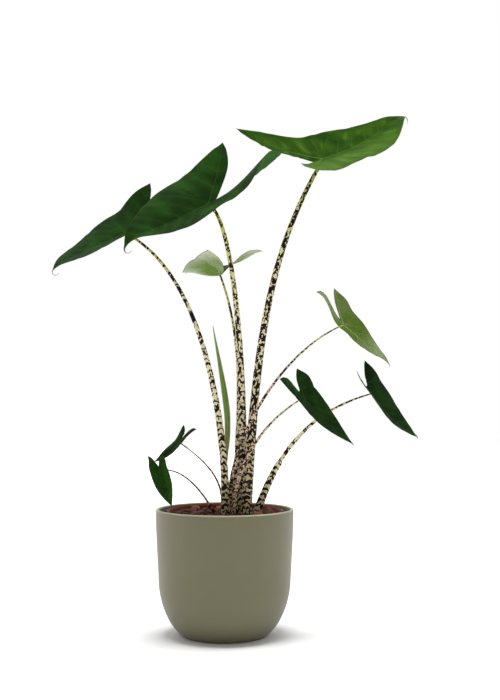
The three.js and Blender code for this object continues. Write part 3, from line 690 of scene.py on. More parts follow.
def leaf_top(name, colours, painted_glow_share, rib_share, translucent):
    """Waxy upper skin of a leaf: satin, deep green, with faint pale veins and a thin edge line.

    "phase" is a whole number on each side vein and "gap" the distance between veins in
    millimetres; "rib" is 1 on the three main ribs; "rim" is the distance to the edge, and
    "out" runs from the rib (0) to the edge (1); "tone" is how light the blade is.
    """
    material, tree = new_material(name)
    flat = add_node(tree, "ShaderNodeAttribute", attribute_name="flat").outputs["Vector"]
    rib, rim, out, gap, tone = (
        add_node(tree, "ShaderNodeAttribute", attribute_name=label).outputs["Fac"]
        for label in ("rib", "rim", "out", "gap", "tone"))
    away, between = vein_distance(tree, flat, gap)
    clouds = add_node(tree, "ShaderNodeTexNoise", {
        "Vector": flat, "Scale": 1 / LEAF_CLOUD, "Detail": 2.0, "Roughness": 0.5})
    # Painted shade of the quilted surface: lighter by the side veins, darker midway between them,
    # added to the random clouds
    on_veins = add_node(tree, "ShaderNodeMath", {0: 0.5, 1: between}, operation="SUBTRACT")
    vein_shade = add_node(tree, "ShaderNodeMath", {0: on_veins, 1: 0.1}, operation="MULTIPLY")
    clouds_and_vein_shade = add_node(tree, "ShaderNodeMath", {0: clouds, 1: vein_shade}, operation="ADD")
    colour = add_node(tree, "ShaderNodeValToRGB", {"Fac": clouds_and_vein_shade}, ramp=(
        (0.34, colours["deep"]), (0.66, colours["green"])))
    # Painted glow: yellow-green painted in as light shining through, in patches and on the half
    # turned to the light
    if painted_glow_share:
        colour = add_node(tree, "ShaderNodeMix", {
            "Factor": painted_backlight_glow(tree, flat, out, between, painted_glow_share),
            "A": colour, "B": colours["glow"]}, data_type="RGBA")
    on_vein = add_node(tree, "ShaderNodeMapRange", {
        "Value": away, "From Min": 0.12, "From Max": 0.6, "To Min": 0.22, "To Max": 0.0},
        interpolation_type="SMOOTHSTEP")
    inward = add_node(tree, "ShaderNodeMath", {0: 1.0, 1: out}, operation="SUBTRACT")
    grown = add_node(tree, "ShaderNodeMapRange", {
        "Value": gap, "From Min": 8.0, "From Max": 20.0, "To Min": 0.25, "To Max": 1.0})
    showing = add_node(tree, "ShaderNodeMath", {0: inward, 1: grown}, operation="MULTIPLY")
    faded = add_node(tree, "ShaderNodeMath", {0: on_vein, 1: showing}, operation="MULTIPLY")
    on_rib = add_node(tree, "ShaderNodeMath", {0: rib, 1: rib_share}, operation="MULTIPLY")
    lines = add_node(tree, "ShaderNodeMath", {0: faded, 1: on_rib}, operation="MAXIMUM")
    veined = add_node(tree, "ShaderNodeMix", {
        "Factor": lines, "A": colour, "B": colours["vein"]}, data_type="RGBA")
    on_edge = add_node(tree, "ShaderNodeMapRange", {
        "Value": rim, "From Min": 0.25, "From Max": 0.9, "To Min": 0.7, "To Max": 0.0},
        interpolation_type="SMOOTHSTEP")
    edged = add_node(tree, "ShaderNodeMix", {
        "Factor": on_edge, "A": veined, "B": colours["edge"]}, data_type="RGBA")
    toned = add_node(tree, "ShaderNodeHueSaturation", {"Color": edged, "Value": tone})
    cells = add_node(tree, "ShaderNodeTexNoise", {
        "Vector": flat, "Scale": 1 / LEAF_CELL, "Detail": 1.0})
    bump = add_node(tree, "ShaderNodeBump", {
        "Height": cells, "Strength": 0.08, "Distance": 0.1 * MM})
    finish_material(tree, leaf_shader(tree, toned, bump, 0.55, 0.03, translucent))
    return material


def leaf_underside(name, colours, translucent):
    """Dull lower skin of a leaf: green by the joint, paler towards the tip and on the rear lobes,
    partly its own paler green and partly painted sheen, with raised lighter ribs and faint side
    veins."""
    material, tree = new_material(name)
    flat = add_node(tree, "ShaderNodeAttribute", attribute_name="flat").outputs["Vector"]
    rib, rim, out, gap = (
        add_node(tree, "ShaderNodeAttribute", attribute_name=label).outputs["Fac"]
        for label in ("rib", "rim", "out", "gap"))
    away, between = vein_distance(tree, flat, gap)
    clouds = add_node(tree, "ShaderNodeTexNoise", {
        "Vector": flat, "Scale": 1 / UNDERSIDE_CLOUD, "Detail": 1.0})
    # Paler away from the joint and on the rear lobes: partly the skin's own paler green, partly
    # painted sheen
    level = add_node(tree, "ShaderNodeVectorMath", {0: flat, 1: (1, 1, 0)},
                     operation="MULTIPLY")
    reach = add_node(tree, "ShaderNodeVectorMath", {0: level}, operation="LENGTH")
    outward = add_node(tree, "ShaderNodeMapRange", {
        "Value": reach, "From Min": 22.0, "From Max": 80.0}, interpolation_type="SMOOTHSTEP")
    ahead = add_node(tree, "ShaderNodeSeparateXYZ", {"Vector": flat}).outputs["X"]
    on_lobe = add_node(tree, "ShaderNodeMapRange", {
        "Value": ahead, "From Min": 5.0, "From Max": -40.0, "To Min": 0.0, "To Max": 0.4},
        interpolation_type="SMOOTHSTEP")
    paler_and_sheen = add_node(tree, "ShaderNodeMath", {0: outward, 1: on_lobe}, operation="MAXIMUM")
    centred = add_node(tree, "ShaderNodeMath", {0: clouds, 1: 0.5}, operation="SUBTRACT")
    drift = add_node(tree, "ShaderNodeMath", {0: centred, 1: 0.7}, operation="MULTIPLY")
    down = add_node(tree, "ShaderNodeMath", {0: paler_and_sheen, 1: drift}, operation="ADD")
    ground = add_node(tree, "ShaderNodeValToRGB", {"Fac": down}, ramp=(
        (0.0, colours["deep"]), (1.0, colours["pale"])))
    on_vein = add_node(tree, "ShaderNodeMapRange", {
        "Value": away, "From Min": 0.2, "From Max": 1.0, "To Min": 0.4, "To Max": 0.0},
        interpolation_type="SMOOTHSTEP")
    inward = add_node(tree, "ShaderNodeMath", {0: 1.0, 1: out}, operation="SUBTRACT")
    faded = add_node(tree, "ShaderNodeMath", {0: on_vein, 1: inward}, operation="MULTIPLY")
    on_rib = add_node(tree, "ShaderNodeMath", {0: rib, 1: 0.7}, operation="MULTIPLY")
    lines = add_node(tree, "ShaderNodeMath", {0: faded, 1: on_rib}, operation="MAXIMUM")
    veined = add_node(tree, "ShaderNodeMix", {
        "Factor": lines, "A": ground, "B": colours["rib"]}, data_type="RGBA")
    on_edge = add_node(tree, "ShaderNodeMapRange", {
        "Value": rim, "From Min": 0.3, "From Max": 0.9, "To Min": 0.7, "To Max": 0.0},
        interpolation_type="SMOOTHSTEP")
    edged = add_node(tree, "ShaderNodeMix", {
        "Factor": on_edge, "A": veined, "B": colours["edge"]}, data_type="RGBA")
    bump = add_node(tree, "ShaderNodeBump", {
        "Height": between, "Strength": 0.1, "Distance": 0.3 * MM})
    finish_material(tree, leaf_shader(tree, edged, bump, 0.65, 0.04, translucent))
    return material


def rolled_leaf_skin():
    """Tightly rolled young leaf: light yellow-green, satin, with the overlap as a darker line."""
    material, tree = new_material("Rolled Young Leaf")
    straight = add_node(tree, "ShaderNodeAttribute", attribute_name="straight").outputs["Vector"]
    share = add_node(tree, "ShaderNodeAttribute", attribute_name="share").outputs["Fac"]
    drawn_out = add_node(tree, "ShaderNodeVectorMath", {0: straight, 1: (1.4, 1.4, 0.05)},
                         operation="MULTIPLY")
    grain = add_node(tree, "ShaderNodeTexNoise", {
        "Vector": drawn_out, "Scale": 1.0, "Detail": 3.0})
    body = add_node(tree, "ShaderNodeValToRGB", {"Fac": share}, ramp=[
        (place, linear(green)) for place, green in ROLLED_LEAF_COURSE])
    shade = add_node(tree, "ShaderNodeValToRGB", {"Fac": grain}, ramp=(
        (0.3, (0.62, 0.66, 0.5, 1)), (0.65, (1, 1, 1, 1))))
    colour = add_node(tree, "ShaderNodeMix", {"Factor": 1.0, "A": body, "B": shade},
                      data_type="RGBA", blend_type="MULTIPLY")
    shader = add_node(tree, "ShaderNodeBsdfPrincipled", {
        "Base Color": colour, "Roughness": 0.4, "IOR": 1.42})
    finish_material(tree, shader)
    return material


def painted_floor(settings):
    """Plain matt floor paint with a barely visible roller texture."""
    material, tree = new_material("Matt Floor Paint")
    place = add_node(tree, "ShaderNodeTexCoord").outputs["Object"]
    roller = add_node(tree, "ShaderNodeTexNoise", {
        "Vector": place, "Scale": 1 / (ROLLER_MARK * MM), "Detail": 2.0})
    bump = add_node(tree, "ShaderNodeBump", {
        "Height": roller, "Strength": 0.03, "Distance": 0.1 * MM})
    shader = add_node(tree, "ShaderNodeBsdfPrincipled", {
        "Base Color": settings.floor, "Normal": bump, "Roughness": 0.8})
    finish_material(tree, shader)
    return material


def white_room(settings):
    """A plain white backdrop; the room's light is bright behind the plant and dim before it."""
    world = bpy.data.worlds.new("Even White Room")
    world.use_nodes = True
    tree = world.node_tree
    tree.nodes.clear()
    direction = add_node(tree, "ShaderNodeTexCoord").outputs["Generated"]
    depth = add_node(tree, "ShaderNodeSeparateXYZ", {"Vector": direction}).outputs["Y"]
    strength = add_node(tree, "ShaderNodeMapRange", {
        "Value": depth, "From Min": -0.5, "From Max": 0.9,
        "To Min": settings.room_front, "To Max": settings.room_back},
        interpolation_type="SMOOTHSTEP")
    white = (1, 1, 1, 1)
    walls = add_node(tree, "ShaderNodeBackground", {"Color": white, "Strength": strength})
    backdrop = add_node(tree, "ShaderNodeBackground", {"Color": white, "Strength": 1.0})
    seen = add_node(tree, "ShaderNodeLightPath").outputs["Is Camera Ray"]
    both = add_node(tree, "ShaderNodeMixShader", {"Fac": seen, 1: walls, 2: backdrop})
    add_node(tree, "ShaderNodeOutputWorld", {"Surface": both})
    return world


# ------------------------------------------------------------------ planter, inner pot and soil

def bezier(points, count):
    """Points on a 2-D or 3-D Bezier curve of any order, without its first point."""
    points = [np.asarray(p, dtype=float) for p in points]
    order = len(points) - 1
    made = []
    for t in np.linspace(0, 1, count + 1)[1:]:
        made.append(sum(
            math.comb(order, k) * (1 - t) ** (order - k) * t**k * p
            for k, p in enumerate(points)))
    return made


def ring_faces(rings, segments):
    """Quads between rings of points that follow one another."""
    faces = []
    for i in range(rings - 1):
        a, b = i * segments, (i + 1) * segments
        for k in range(segments):
            n = (k + 1) % segments
            faces.append((a + k, a + n, b + n, b + k))
    return faces


def turned(profile, segments):
    """Points and faces of a closed solid turned about Z, from (radius, height) points that
    start and end on the axis."""
    rings = profile[1:-1]
    points = []
    for radius, height in rings:
        for k in range(segments):
            angle = TURN * k / segments
            points.append((radius * math.cos(angle), radius * math.sin(angle), height))
    faces = ring_faces(len(rings), segments)
    low, high = len(points), len(points) + 1
    points += [(0, 0, profile[0][1]), (0, 0, profile[-1][1])]
    last = (len(rings) - 1) * segments
    for k in range(segments):
        n = (k + 1) % segments
        faces += [(k, low, n), (last + k, last + n, high)]
    return np.array(points), faces


def planter_profile():
    rim, top = PLANTER_RIM_RADIUS, PLANTER_HEIGHT
    inner_rim = rim - PLANTER_WALL
    straight_top = top - LIP_ROUNDING
    foot_bevel = 0.3
    handle_low = BODY_KNEE_HEIGHT - LOWER_HANDLE_DROP
    knee, inner_knee = (BODY_KNEE_RADIUS, BODY_KNEE_HEIGHT), (INNER_KNEE_RADIUS, BODY_KNEE_HEIGHT)
    profile = [(0, 0), (20, 0), (45, 0), (FOOT_RADIUS - FOOT_EDGE, 0)]
    profile += bezier([profile[-1], (FOOT_RADIUS, 0), (FOOT_RADIUS, FOOT_EDGE)], 4)
    profile += [(FOOT_RADIUS, FOOT_HEIGHT - foot_bevel), (FOOT_RADIUS + foot_bevel, FOOT_HEIGHT)]
    profile += bezier([
        (FOOT_RADIUS + FOOT_STEP, FOOT_HEIGHT),
        (FOOT_RADIUS + LOWER_HANDLE_OUT, FOOT_HEIGHT + LOWER_HANDLE_UP),
        (BODY_KNEE_RADIUS - KNEE_LEAN, handle_low), knee], 30)
    profile += bezier([
        knee, (BODY_KNEE_RADIUS + KNEE_LEAN, BODY_KNEE_HEIGHT + UPPER_HANDLE_RISE),
        (rim, straight_top - RIM_HANDLE_DROP), (rim, straight_top)], 24)
    profile += bezier([(rim, straight_top), (rim, top), (rim - LIP_ROUNDING, top)], 8)
    profile += bezier([
        (inner_rim + LIP_ROUNDING, top), (inner_rim, top), (inner_rim, straight_top)], 8)
    profile += bezier([(inner_rim, straight_top), inner_knee], 16)
    profile += bezier([
        inner_knee, (INNER_KNEE_RADIUS - KNEE_LEAN, handle_low),
        (FLOOR_RADIUS + LOWER_HANDLE_UP, PLANTER_FLOOR + LOWER_HANDLE_UP),
        (FLOOR_RADIUS, PLANTER_FLOOR)], 20)
    profile += [(FLOOR_RADIUS / 2, PLANTER_FLOOR), (0, PLANTER_FLOOR)]
    return profile


def grow_pot_radius(height):
    base = PLANTER_FLOOR + GAP
    share = (height - base) / (GROW_POT_TOP - base)
    return mix(GROW_POT_BASE_RADIUS, GROW_POT_RIM_RADIUS - GROW_POT_RIM_OUTSET, share)


def grow_pot_profile():
    base, top = PLANTER_FLOOR + GAP, GROW_POT_TOP
    rim, wall = GROW_POT_RIM_RADIUS, GROW_POT_WALL
    rounding, edge = GROW_POT_ROUNDING, GROW_POT_EDGE
    band_bottom = top - GROW_POT_RIM_BAND
    band_inner = rim - GROW_POT_RIM_OUTSET - wall
    step, lip = top - GROW_POT_RIM_STEP, GROW_POT_LIP
    inner_top = band_bottom - 1
    profile = [(0, base), (GROW_POT_BASE_RADIUS - rounding, base)]
    profile += bezier([profile[-1], (GROW_POT_BASE_RADIUS, base),
                       (grow_pot_radius(base + rounding), base + rounding)], 5)
    profile += [(grow_pot_radius(h), h) for h in np.linspace(base + 2 * rounding, band_bottom, 12)]
    profile += bezier([profile[-1], (rim, band_bottom), (rim, band_bottom + 2 * edge)], 4)
    profile += [(rim, top - edge)]
    profile += bezier([profile[-1], (rim, top), (rim - edge, top)], 4)
    profile += [(rim - 2 * edge, top), (rim - lip, step)]
    profile += [(band_inner + 0.5, step), (band_inner, top - lip)]
    profile += [(grow_pot_radius(h) - wall, h) for h in np.linspace(inner_top, base + 5, 12)]
    profile += [(grow_pot_radius(base + wall) - wall - rounding, base + wall), (0, base + wall)]
    return profile


def soil_height(radius):
    """Height of the smooth soil mound at a distance from its middle."""
    edge = grow_pot_radius(SOIL_EDGE_TOP) - GROW_POT_WALL - GAP
    curve = spline_through((
        (edge, SOIL_EDGE_TOP), (SOIL_MOUND_RADIUS, (SOIL_EDGE_TOP + SOIL_MOUND_TOP) / 2),
        (0, SOIL_MOUND_TOP)), 240)[::-1]
    return np.interp(radius, curve[:, 0], curve[:, 1])


SOIL_RINGS, SOIL_SEGMENTS = 70, 200
SOIL_SINK = 0.4            # how far the peat lies under the smooth mound
# Relief of the peat: size of a lump and height of it, both in millimetres
SOIL_SWELL, SOIL_LUMP, SOIL_CRUMB = (13, 1.6), (4.5, 1.5), (2, 0.8)
SOIL_RELIEF_END = 0.96     # share of the soil's radius from which it runs out to the pot


def soil_relief(x, y):
    swell, lump, crumb = (
        noise.noise(Vector((x, y, level)) / size) * height
        for level, (size, height) in ((3, SOIL_SWELL), (9, SOIL_LUMP), (5, SOIL_CRUMB)))
    return swell + abs(lump) + crumb


def build_soil(peat):
    """The soil body: crumbly above, smooth where the pot hides it."""
    edge = grow_pot_radius(SOIL_EDGE_TOP) - GROW_POT_WALL - GAP
    points = []
    for i in range(SOIL_RINGS + 1):
        share = i / SOIL_RINGS
        radius = edge * share
        fade = 1 - smooth((share - SOIL_RELIEF_END) / (1 - SOIL_RELIEF_END))
        for k in range(SOIL_SEGMENTS):
            angle = TURN * k / SOIL_SEGMENTS
            x, y = radius * math.cos(angle), radius * math.sin(angle)
            height = float(soil_height(radius)) + soil_relief(x, y) * fade
            points.append((x, y, height - SOIL_SINK))
    faces = [(a, d, c, b) for a, b, c, d in ring_faces(SOIL_RINGS + 1, SOIL_SEGMENTS)]
    bottom = PLANTER_FLOOR + GROW_POT_WALL + 2 * GAP
    low_edge = grow_pot_radius(bottom) - GROW_POT_WALL - GAP - GROW_POT_ROUNDING
    start, top_edge = len(points), SOIL_RINGS * SOIL_SEGMENTS
    for k in range(SOIL_SEGMENTS):
        angle = TURN * k / SOIL_SEGMENTS
        points.append((low_edge * math.cos(angle), low_edge * math.sin(angle), bottom))
    points.append((0, 0, bottom))
    for k in range(SOIL_SEGMENTS):
        n = (k + 1) % SOIL_SEGMENTS
        faces.append((top_edge + k, start + k, start + n, top_edge + n))
        faces.append((start + n, start + k, start + SOIL_SEGMENTS))
    piece = new_mesh_object("soil_body", points, faces)
    merge = bmesh.new()
    merge.from_mesh(piece.data)
    bmesh.ops.remove_doubles(merge, verts=merge.verts, dist=1e-6)
    merge.to_mesh(piece.data)
    merge.free()
    piece.data.materials.append(peat)
    hand_over(piece, "soil", "soil")


# What lies on the soil: how many (for the bark chips a setting), the seed of their places,
# least and greatest length, least and greatest height as a share of it, share of the height
# that is sunk in, and the radius that they keep outside
GRAINS = {
    "bark_chips": {"seed": 5, "sizes": (4, 12), "flatness": (0.2, 0.45), "sink": 0.25,
                   "inner": 0},
    "bark_slabs": {"count": 90, "seed": 8, "sizes": (7, 15), "flatness": (0.45, 0.8),
                   "sink": 0.2, "inner": 62},
    "peat_crumbs": {"count": 700, "seed": 6, "sizes": (1.5, 5), "flatness": (0.5, 0.9),
                    "sink": 0.2, "inner": 0},
    "perlite_grains": {"count": 16, "seed": 7, "sizes": (1.2, 2.6), "flatness": (0.7, 1.0),
                       "sink": 0.1, "inner": 0},
}
GRAIN_REACH = 0.6          # share of a grain's length that it reaches from its middle
GRAIN_ROUGHNESS = 0.22
GRAIN_TILT = 0.35          # typical tilt in radians
GRAIN_LIFT = 0.4
GRAINS_TO_POT = 2
GRAINS_TO_STALK = 2.5
STALK_FOOT_SPREAD = 1.8    # how much room a stalk's foot takes, in radii


def grain_shape():
    """Corners and quads of a cube cut once each way, which is rounded and roughened later."""
    cube = bmesh.new()
    bmesh.ops.create_cube(cube, size=1.0)
    bmesh.ops.subdivide_edges(cube, edges=cube.edges, cuts=1, use_grid_fill=True)
    corners = [v.co.copy() for v in cube.verts]
    quads = [[v.index for v in f.verts] for f in cube.faces]
    cube.free()
    return corners, quads


def scatter_grains(name, material, count, seed, sizes, flatness, sink, inner):
    """Small angular grains lying on the soil, joined in one mesh, with a tint for each. They
    fill a disc, or the ring of it outside the inner radius."""
    rng = random.Random(seed)
    spread = grow_pot_radius(SOIL_EDGE_TOP) - GROW_POT_WALL - GRAINS_TO_POT
    points, faces, tints = [], [], []
    corners, quads = grain_shape()
    stalk_feet = [(Vector(leaf["path"][0][:2]), leaf["radii"][0]) for leaf in LEAVES.values()]
    stalk_feet.append((Vector(ROLLED_LEAF_PATH[0][:2]), ROLLED_LEAF_RADII[0]))
    placed = 0
    while placed < count:
        radius = math.sqrt(rng.uniform(inner**2, spread**2))
        angle = rng.uniform(0, TURN)
        centre = Vector((radius * math.cos(angle), radius * math.sin(angle), 0))
        size = rng.uniform(*sizes)
        reach = GRAIN_REACH * size
        if radius + reach > spread:
            continue
        if any((foot - centre.xy).length < STALK_FOOT_SPREAD * stem + GRAINS_TO_STALK + reach
               for foot, stem in stalk_feet):
            continue
        shape = Vector((size, size * rng.uniform(0.45, 0.8), size * rng.uniform(*flatness)))
        centre.z = float(soil_height(radius)) + shape.z * (0.5 - sink) + GRAIN_LIFT
        turn = Matrix.Rotation(rng.uniform(0, TURN), 3, "Z")
        turn = turn @ Matrix.Rotation(rng.gauss(0, GRAIN_TILT), 3, "X")
        turn = turn @ Matrix.Rotation(rng.gauss(0, GRAIN_TILT), 3, "Y")
        start = len(points)
        for corner in corners:
            rough = 1 + GRAIN_ROUGHNESS * noise.noise(corner * 2.3 + centre)
            rounder = corner / max(0.75, corner.length * 1.25)
            local = Vector((rounder.x * shape.x, rounder.y * shape.y, rounder.z * shape.z))
            points.append(turn @ (local * rough) + centre)
        faces += [[start + i for i in quad] for quad in quads]
        tints += [rng.random()] * len(corners)
        placed += 1
    piece = new_mesh_object(name, points, faces)
    piece.data.shade_flat()
    store(piece, "tint", tints)
    piece.data.materials.append(material)
    hand_over(piece, "soil")


# ------------------------------------------------------------------ stalks

def unit(vectors):
    return vectors / np.maximum(np.linalg.norm(vectors, axis=-1, keepdims=True), 1e-12)


def blade_turn(leaf):
    heading, pitch, roll = (math.radians(angle) for angle in leaf["turn"])
    turn = Matrix.Rotation(heading, 3, "Z") @ Matrix.Rotation(-pitch, 3, "Y")
    return np.array(turn @ Matrix.Rotation(roll, 3, "X"))


def stalk_line(leaf, count):
    """Points up the middle of a stalk, ending in the rib under its blade."""
    up = blade_turn(leaf)[:, 2]
    top = np.array(leaf["joint"], dtype=float) - up * STALK_TUCK * leaf["radii"][1]
    base, rise, reach = (np.array(p, dtype=float) for p in leaf["path"])
    return np.array([base] + bezier([base, rise, reach, top], count))


def frames_along(line):
    """Two directions across each point of a line, turning as little as possible."""
    tangents = unit(np.gradient(line, axis=0))
    first = np.cross(tangents[0], (0, 1, 0))
    across = [first / np.linalg.norm(first)]
    for tangent in tangents[1:]:
        side = across[-1] - tangent * np.dot(across[-1], tangent)
        across.append(side / np.linalg.norm(side))
    across = np.array(across)
    return across, np.cross(tangents, across)


def tube(name, line, radii, sides, seed, shape=None):
    """A closed tube with its unrolled coordinates stored for the banding. Each seed starts a
    metre farther up the pattern, so that no two stalks are banded alike."""
    first, second = frames_along(line)
    lengths = lengths_along(line)
    points, straight, shares = [], [], []
    for i, centre in enumerate(line):
        for k in range(sides):
            angle = TURN * k / sides
            radius = radii[i] * (shape(lengths[i] / lengths[-1], angle) if shape else 1)
            points.append(centre + radius * (
                math.cos(angle) * first[i] + math.sin(angle) * second[i]))
            straight.append((
                radii[i] * math.cos(angle), radii[i] * math.sin(angle),
                lengths[i] + METRE * seed))
            shares.append(lengths[i] / lengths[-1])
    faces = ring_faces(len(line), sides)
    faces.append(tuple(range(sides))[::-1])
    last = (len(line) - 1) * sides
    faces.append(tuple(last + k for k in range(sides)))
    piece = new_mesh_object(name, points, faces)
    store(piece, "straight", straight)
    store(piece, "share", shares)
    return piece


# How each stalk is banded: its kind of skin, and what is added to the dark share of it at
# its foot and at its top
BANDING = {
    "upper_left": ("banded", 0.015, 0.01), "upper_middle": ("spotted", 0.01, -0.02),
    "upper_right": ("spotted", 0.02, 0.06), "young_back": ("spotted", 0.0, -0.03),
    "middle_right": ("thin", 0.04, -0.02), "lower_front": ("thin", 0.0, -0.02),
    "lower_right": ("banded", 0.02, -0.03), "low_left_front": ("ruddy", 0.05, 0.02),
    "low_left_back": ("ruddy", 0.03, 0.03),
}

# Size of the pigment patches across and along a stalk, distance between its crossbands, and
# how strongly the patches line up in them
PATTERNS = {
    "banded": {"across": 7.0, "along": 6.0, "spacing": 8.5, "rings": 0.1},
    "spotted": {"across": 3.4, "along": 7.2, "spacing": 8.0, "rings": 0.06},
    "thin": {"across": 4.0, "along": 5.0, "spacing": 6.0, "rings": 0.08},
    "ruddy": {"across": 4.0, "along": 6.0, "spacing": 7.0, "rings": 0.06},
}

# Where a stalk's clasping sheath ends, as a share of its length, and how wide the stalk is
# below that end and above it, against its plain taper
SHEATHS = {
    "lower_right": (0.33, 1.22, 0.92), "low_left_front": (0.2, 1.7, 1.0),
    "middle_right": (0.3, 0.9, 0.85),
}
SHEATH_STEP = 0.012        # share of the length over which the sheath ends
STALK_TUCK = 0.6           # how far under the blade's joint a stalk ends, in radii
STALK_SIDES = 24
STALK_STEPS, STALK_STEPS_QUICK = 120, 40
ROLLED_LEAF_SEED = 31
ROLLED_LEAF_SIDES, ROLLED_LEAF_STEPS = 40, 110
ROLL_START, ROLL_FULL = 0.38, 0.5   # shares of its length between which the roll shows
ROLL_STEP = 0.16           # height of the roll's outer edge, in radii
ROLL_TURNS = 0.9           # how often that edge runs round the leaf


def build_stalk(name, leaf, seed, kinds):
    line = stalk_line(leaf, STALK_STEPS)
    lengths = lengths_along(line)
    base, top = leaf["radii"]
    shares = lengths / lengths[-1]
    radii = mix(base, top, shares ** STALK_TAPER_POWER)
    if name in SHEATHS:
        end, below, above = SHEATHS[name]
        radii *= mix(below, above, smooth((shares - end) / SHEATH_STEP))
    piece = tube("stalk_" + name + "_skin", line, radii, STALK_SIDES, seed)
    kind, foot, head = BANDING[name]
    store(piece, "cover", np.repeat(mix(foot, head, shares), STALK_SIDES))
    piece.data.materials.append(kinds[kind])
    hand_over(piece, "leaf_stalk", "stalk_" + name)


def build_rolled_leaf():
    line = spline_through(ROLLED_LEAF_PATH)
    shares = np.linspace(0, 1, ROLLED_LEAF_STEPS)
    line = along(line, shares)
    knots = np.linspace(0, 1, len(ROLLED_LEAF_RADII))
    widths = spline_through(np.stack([knots, ROLLED_LEAF_RADII], 1))
    radii = np.interp(shares, widths[:, 0], widths[:, 1])

    def overlap(share, angle):
        """A spiral step where the outer edge of the blade lies on the roll."""
        rolled = float(smooth((share - ROLL_START) / (ROLL_FULL - ROLL_START)))
        turned_to = (angle / TURN + ROLL_TURNS * share) % 1.0
        return 1 - ROLL_STEP * rolled * turned_to**3

    piece = tube("rolled_leaf_skin", line, radii, ROLLED_LEAF_SIDES, ROLLED_LEAF_SEED, overlap)
    piece.data.materials.append(rolled_leaf_skin())
    hand_over(piece, "rolled_leaf", "rolled_leaf")


# ------------------------------------------------------------------ leaf blades

BODY_MARGIN_END = 0.46     # share of the margin reached by the last vein ahead of the joint
FAN_MARGIN_END = 0.64      # share of the margin where the veins of the rear lobe start
FAN_VEINS = 2
LARGE_BLADE, SMALL_BLADE = 120, 60
VEINS, VEINS_LARGE = (5, 3), (6, 4)   # side veins ahead of the joint, and on a rear lobe
VEIN_BOW = 0.1             # how far a side vein bows, as a share of its length
VEIN_WIDTH = 0.7
VEIN_RELIEF = 0.28         # how far a side vein stands out below
DRIP_WIDTH = 0.012         # half width in the middle of the drip tip, as a share of the half
DRIP_ROWS = 15
COLUMN_CROWDING, NOTCH_CROWDING = 1.45, 1.3   # above 1 puts more columns near the rib
DETAIL = {"rows": 11, "columns": 28, "notch_columns": 10}
DETAIL_SMALL = {"rows": 5, "columns": 14, "notch_columns": 6}
RIB_FILLET = 0.5           # how far a rib spreads into the blade at its root
MIDRIB_WIDTH, MIDRIB_END = 1.15, 0.45   # half width: in stalk radii at its root, mm at its end
LOBE_RIB_WIDTH, LOBE_RIB_END = 1.0, 0.4
RIB_HEIGHT, RIB_END_HEIGHT = 1.25, 0.3
RIB_ABOVE = 0.14           # share of a rib's height that shows on the upper side
BULGE_LIMIT, BULGE_SHARE = 0.14, 0.007  # mm, and share of the distance between side veins
WAVE_LENGTH = 0.19         # of the margin's waves, as a share of the margin
WAVE_DIVISOR = 260         # length of a blade whose margin waves by 1 mm
EDGE_SHARE, EDGE_REACH = 0.35, 2.5      # how thin the edge is, and from where it thins


def lobe_direction(side):
    splay = math.radians(side["splay"])
    return np.array((-math.cos(splay), math.sin(splay)))


def away_from_lobe(side):
    splay = math.radians(side["splay"])
    return np.array((math.sin(splay), math.cos(splay)))


def lobe_tip(side):
    return lobe_direction(side) * side["lobe"]


def outer_margin(leaf, side):
    length, drip, width = leaf["length"], leaf["drip"], side["width"]
    ahead = [(share * length, (across + added * side["fullness"]) * width)
             for share, across, added in MARGIN_SHARES]
    middle = (np.array((0, width)) + lobe_tip(side)) / 2
    middle += away_from_lobe(side) * side["bulge"] * side["lobe"]
    return spline_through([
        (length + drip, 0), (length + drip / 2, DRIP_WIDTH * width), *ahead, middle,
        lobe_tip(side)])


def notch_margin(leaf, side):
    tip = lobe_tip(side)
    inset = side["inset"] * side["lobe"]
    inner = [tip * share - away_from_lobe(side) * inset * depth for share, depth in NOTCH_SHARES]
    return spline_through([(-leaf["notch"], 0), *inner, tip])


def vein_row(rib, edge, lean, shares):
    """Points from a rib to the margin along a side vein that bows away from its rib's tip."""
    control = (rib + edge) / 2 - lean * VEIN_BOW * np.linalg.norm(edge - rib)
    s = shares[:, None]
    return (1 - s) ** 2 * rib + 2 * s * (1 - s) * control + s**2 * edge


def outer_rows(leaf, side, detail):
    """Rows of flat points, each with its vein number and its place along the margin."""
    margin = outer_margin(leaf, side)
    tip = lobe_tip(side)
    reach = leaf["length"] + leaf["drip"]
    forward, back = np.array((1.0, 0.0)), lobe_direction(side)
    body_veins, lobe_veins = vein_counts(leaf)
    columns = np.linspace(0, 1, detail["columns"] + 1) ** COLUMN_CROWDING
    per_vein = detail["rows"]
    rows, phases, places = [], [], []

    def put(rib, place, lean, phase):
        edge = along(margin, [place])[0]
        rows.append(vein_row(rib, edge, lean, columns))
        phases.append(phase)
        places.append(place)

    drip_share = leaf["drip"] / reach
    shares = np.concatenate((
        np.linspace(0, drip_share, DRIP_ROWS)[:-1],
        np.linspace(drip_share, 1, body_veins * per_vein + 1)))
    for share in shares:
        rib = np.array((reach * (1 - share), 0.0))
        put(rib, BODY_MARGIN_END * share, forward, body_veins * rib[0] / leaf["length"])
    for i in range(1, FAN_VEINS * per_vein + 1):
        share = i / (FAN_VEINS * per_vein)
        put(np.zeros(2), mix(BODY_MARGIN_END, FAN_MARGIN_END, share),
            mix(forward, back, share), -FAN_VEINS * share)
    for i in range(1, lobe_veins * per_vein + 1):
        share = i / (lobe_veins * per_vein)
        put(tip * share, mix(FAN_MARGIN_END, 1, share), back, -FAN_VEINS - lobe_veins * share)
    return np.array(rows), np.array(phases), np.array(places), columns


def vein_counts(leaf):
    return VEINS_LARGE if leaf["length"] > LARGE_BLADE else VEINS


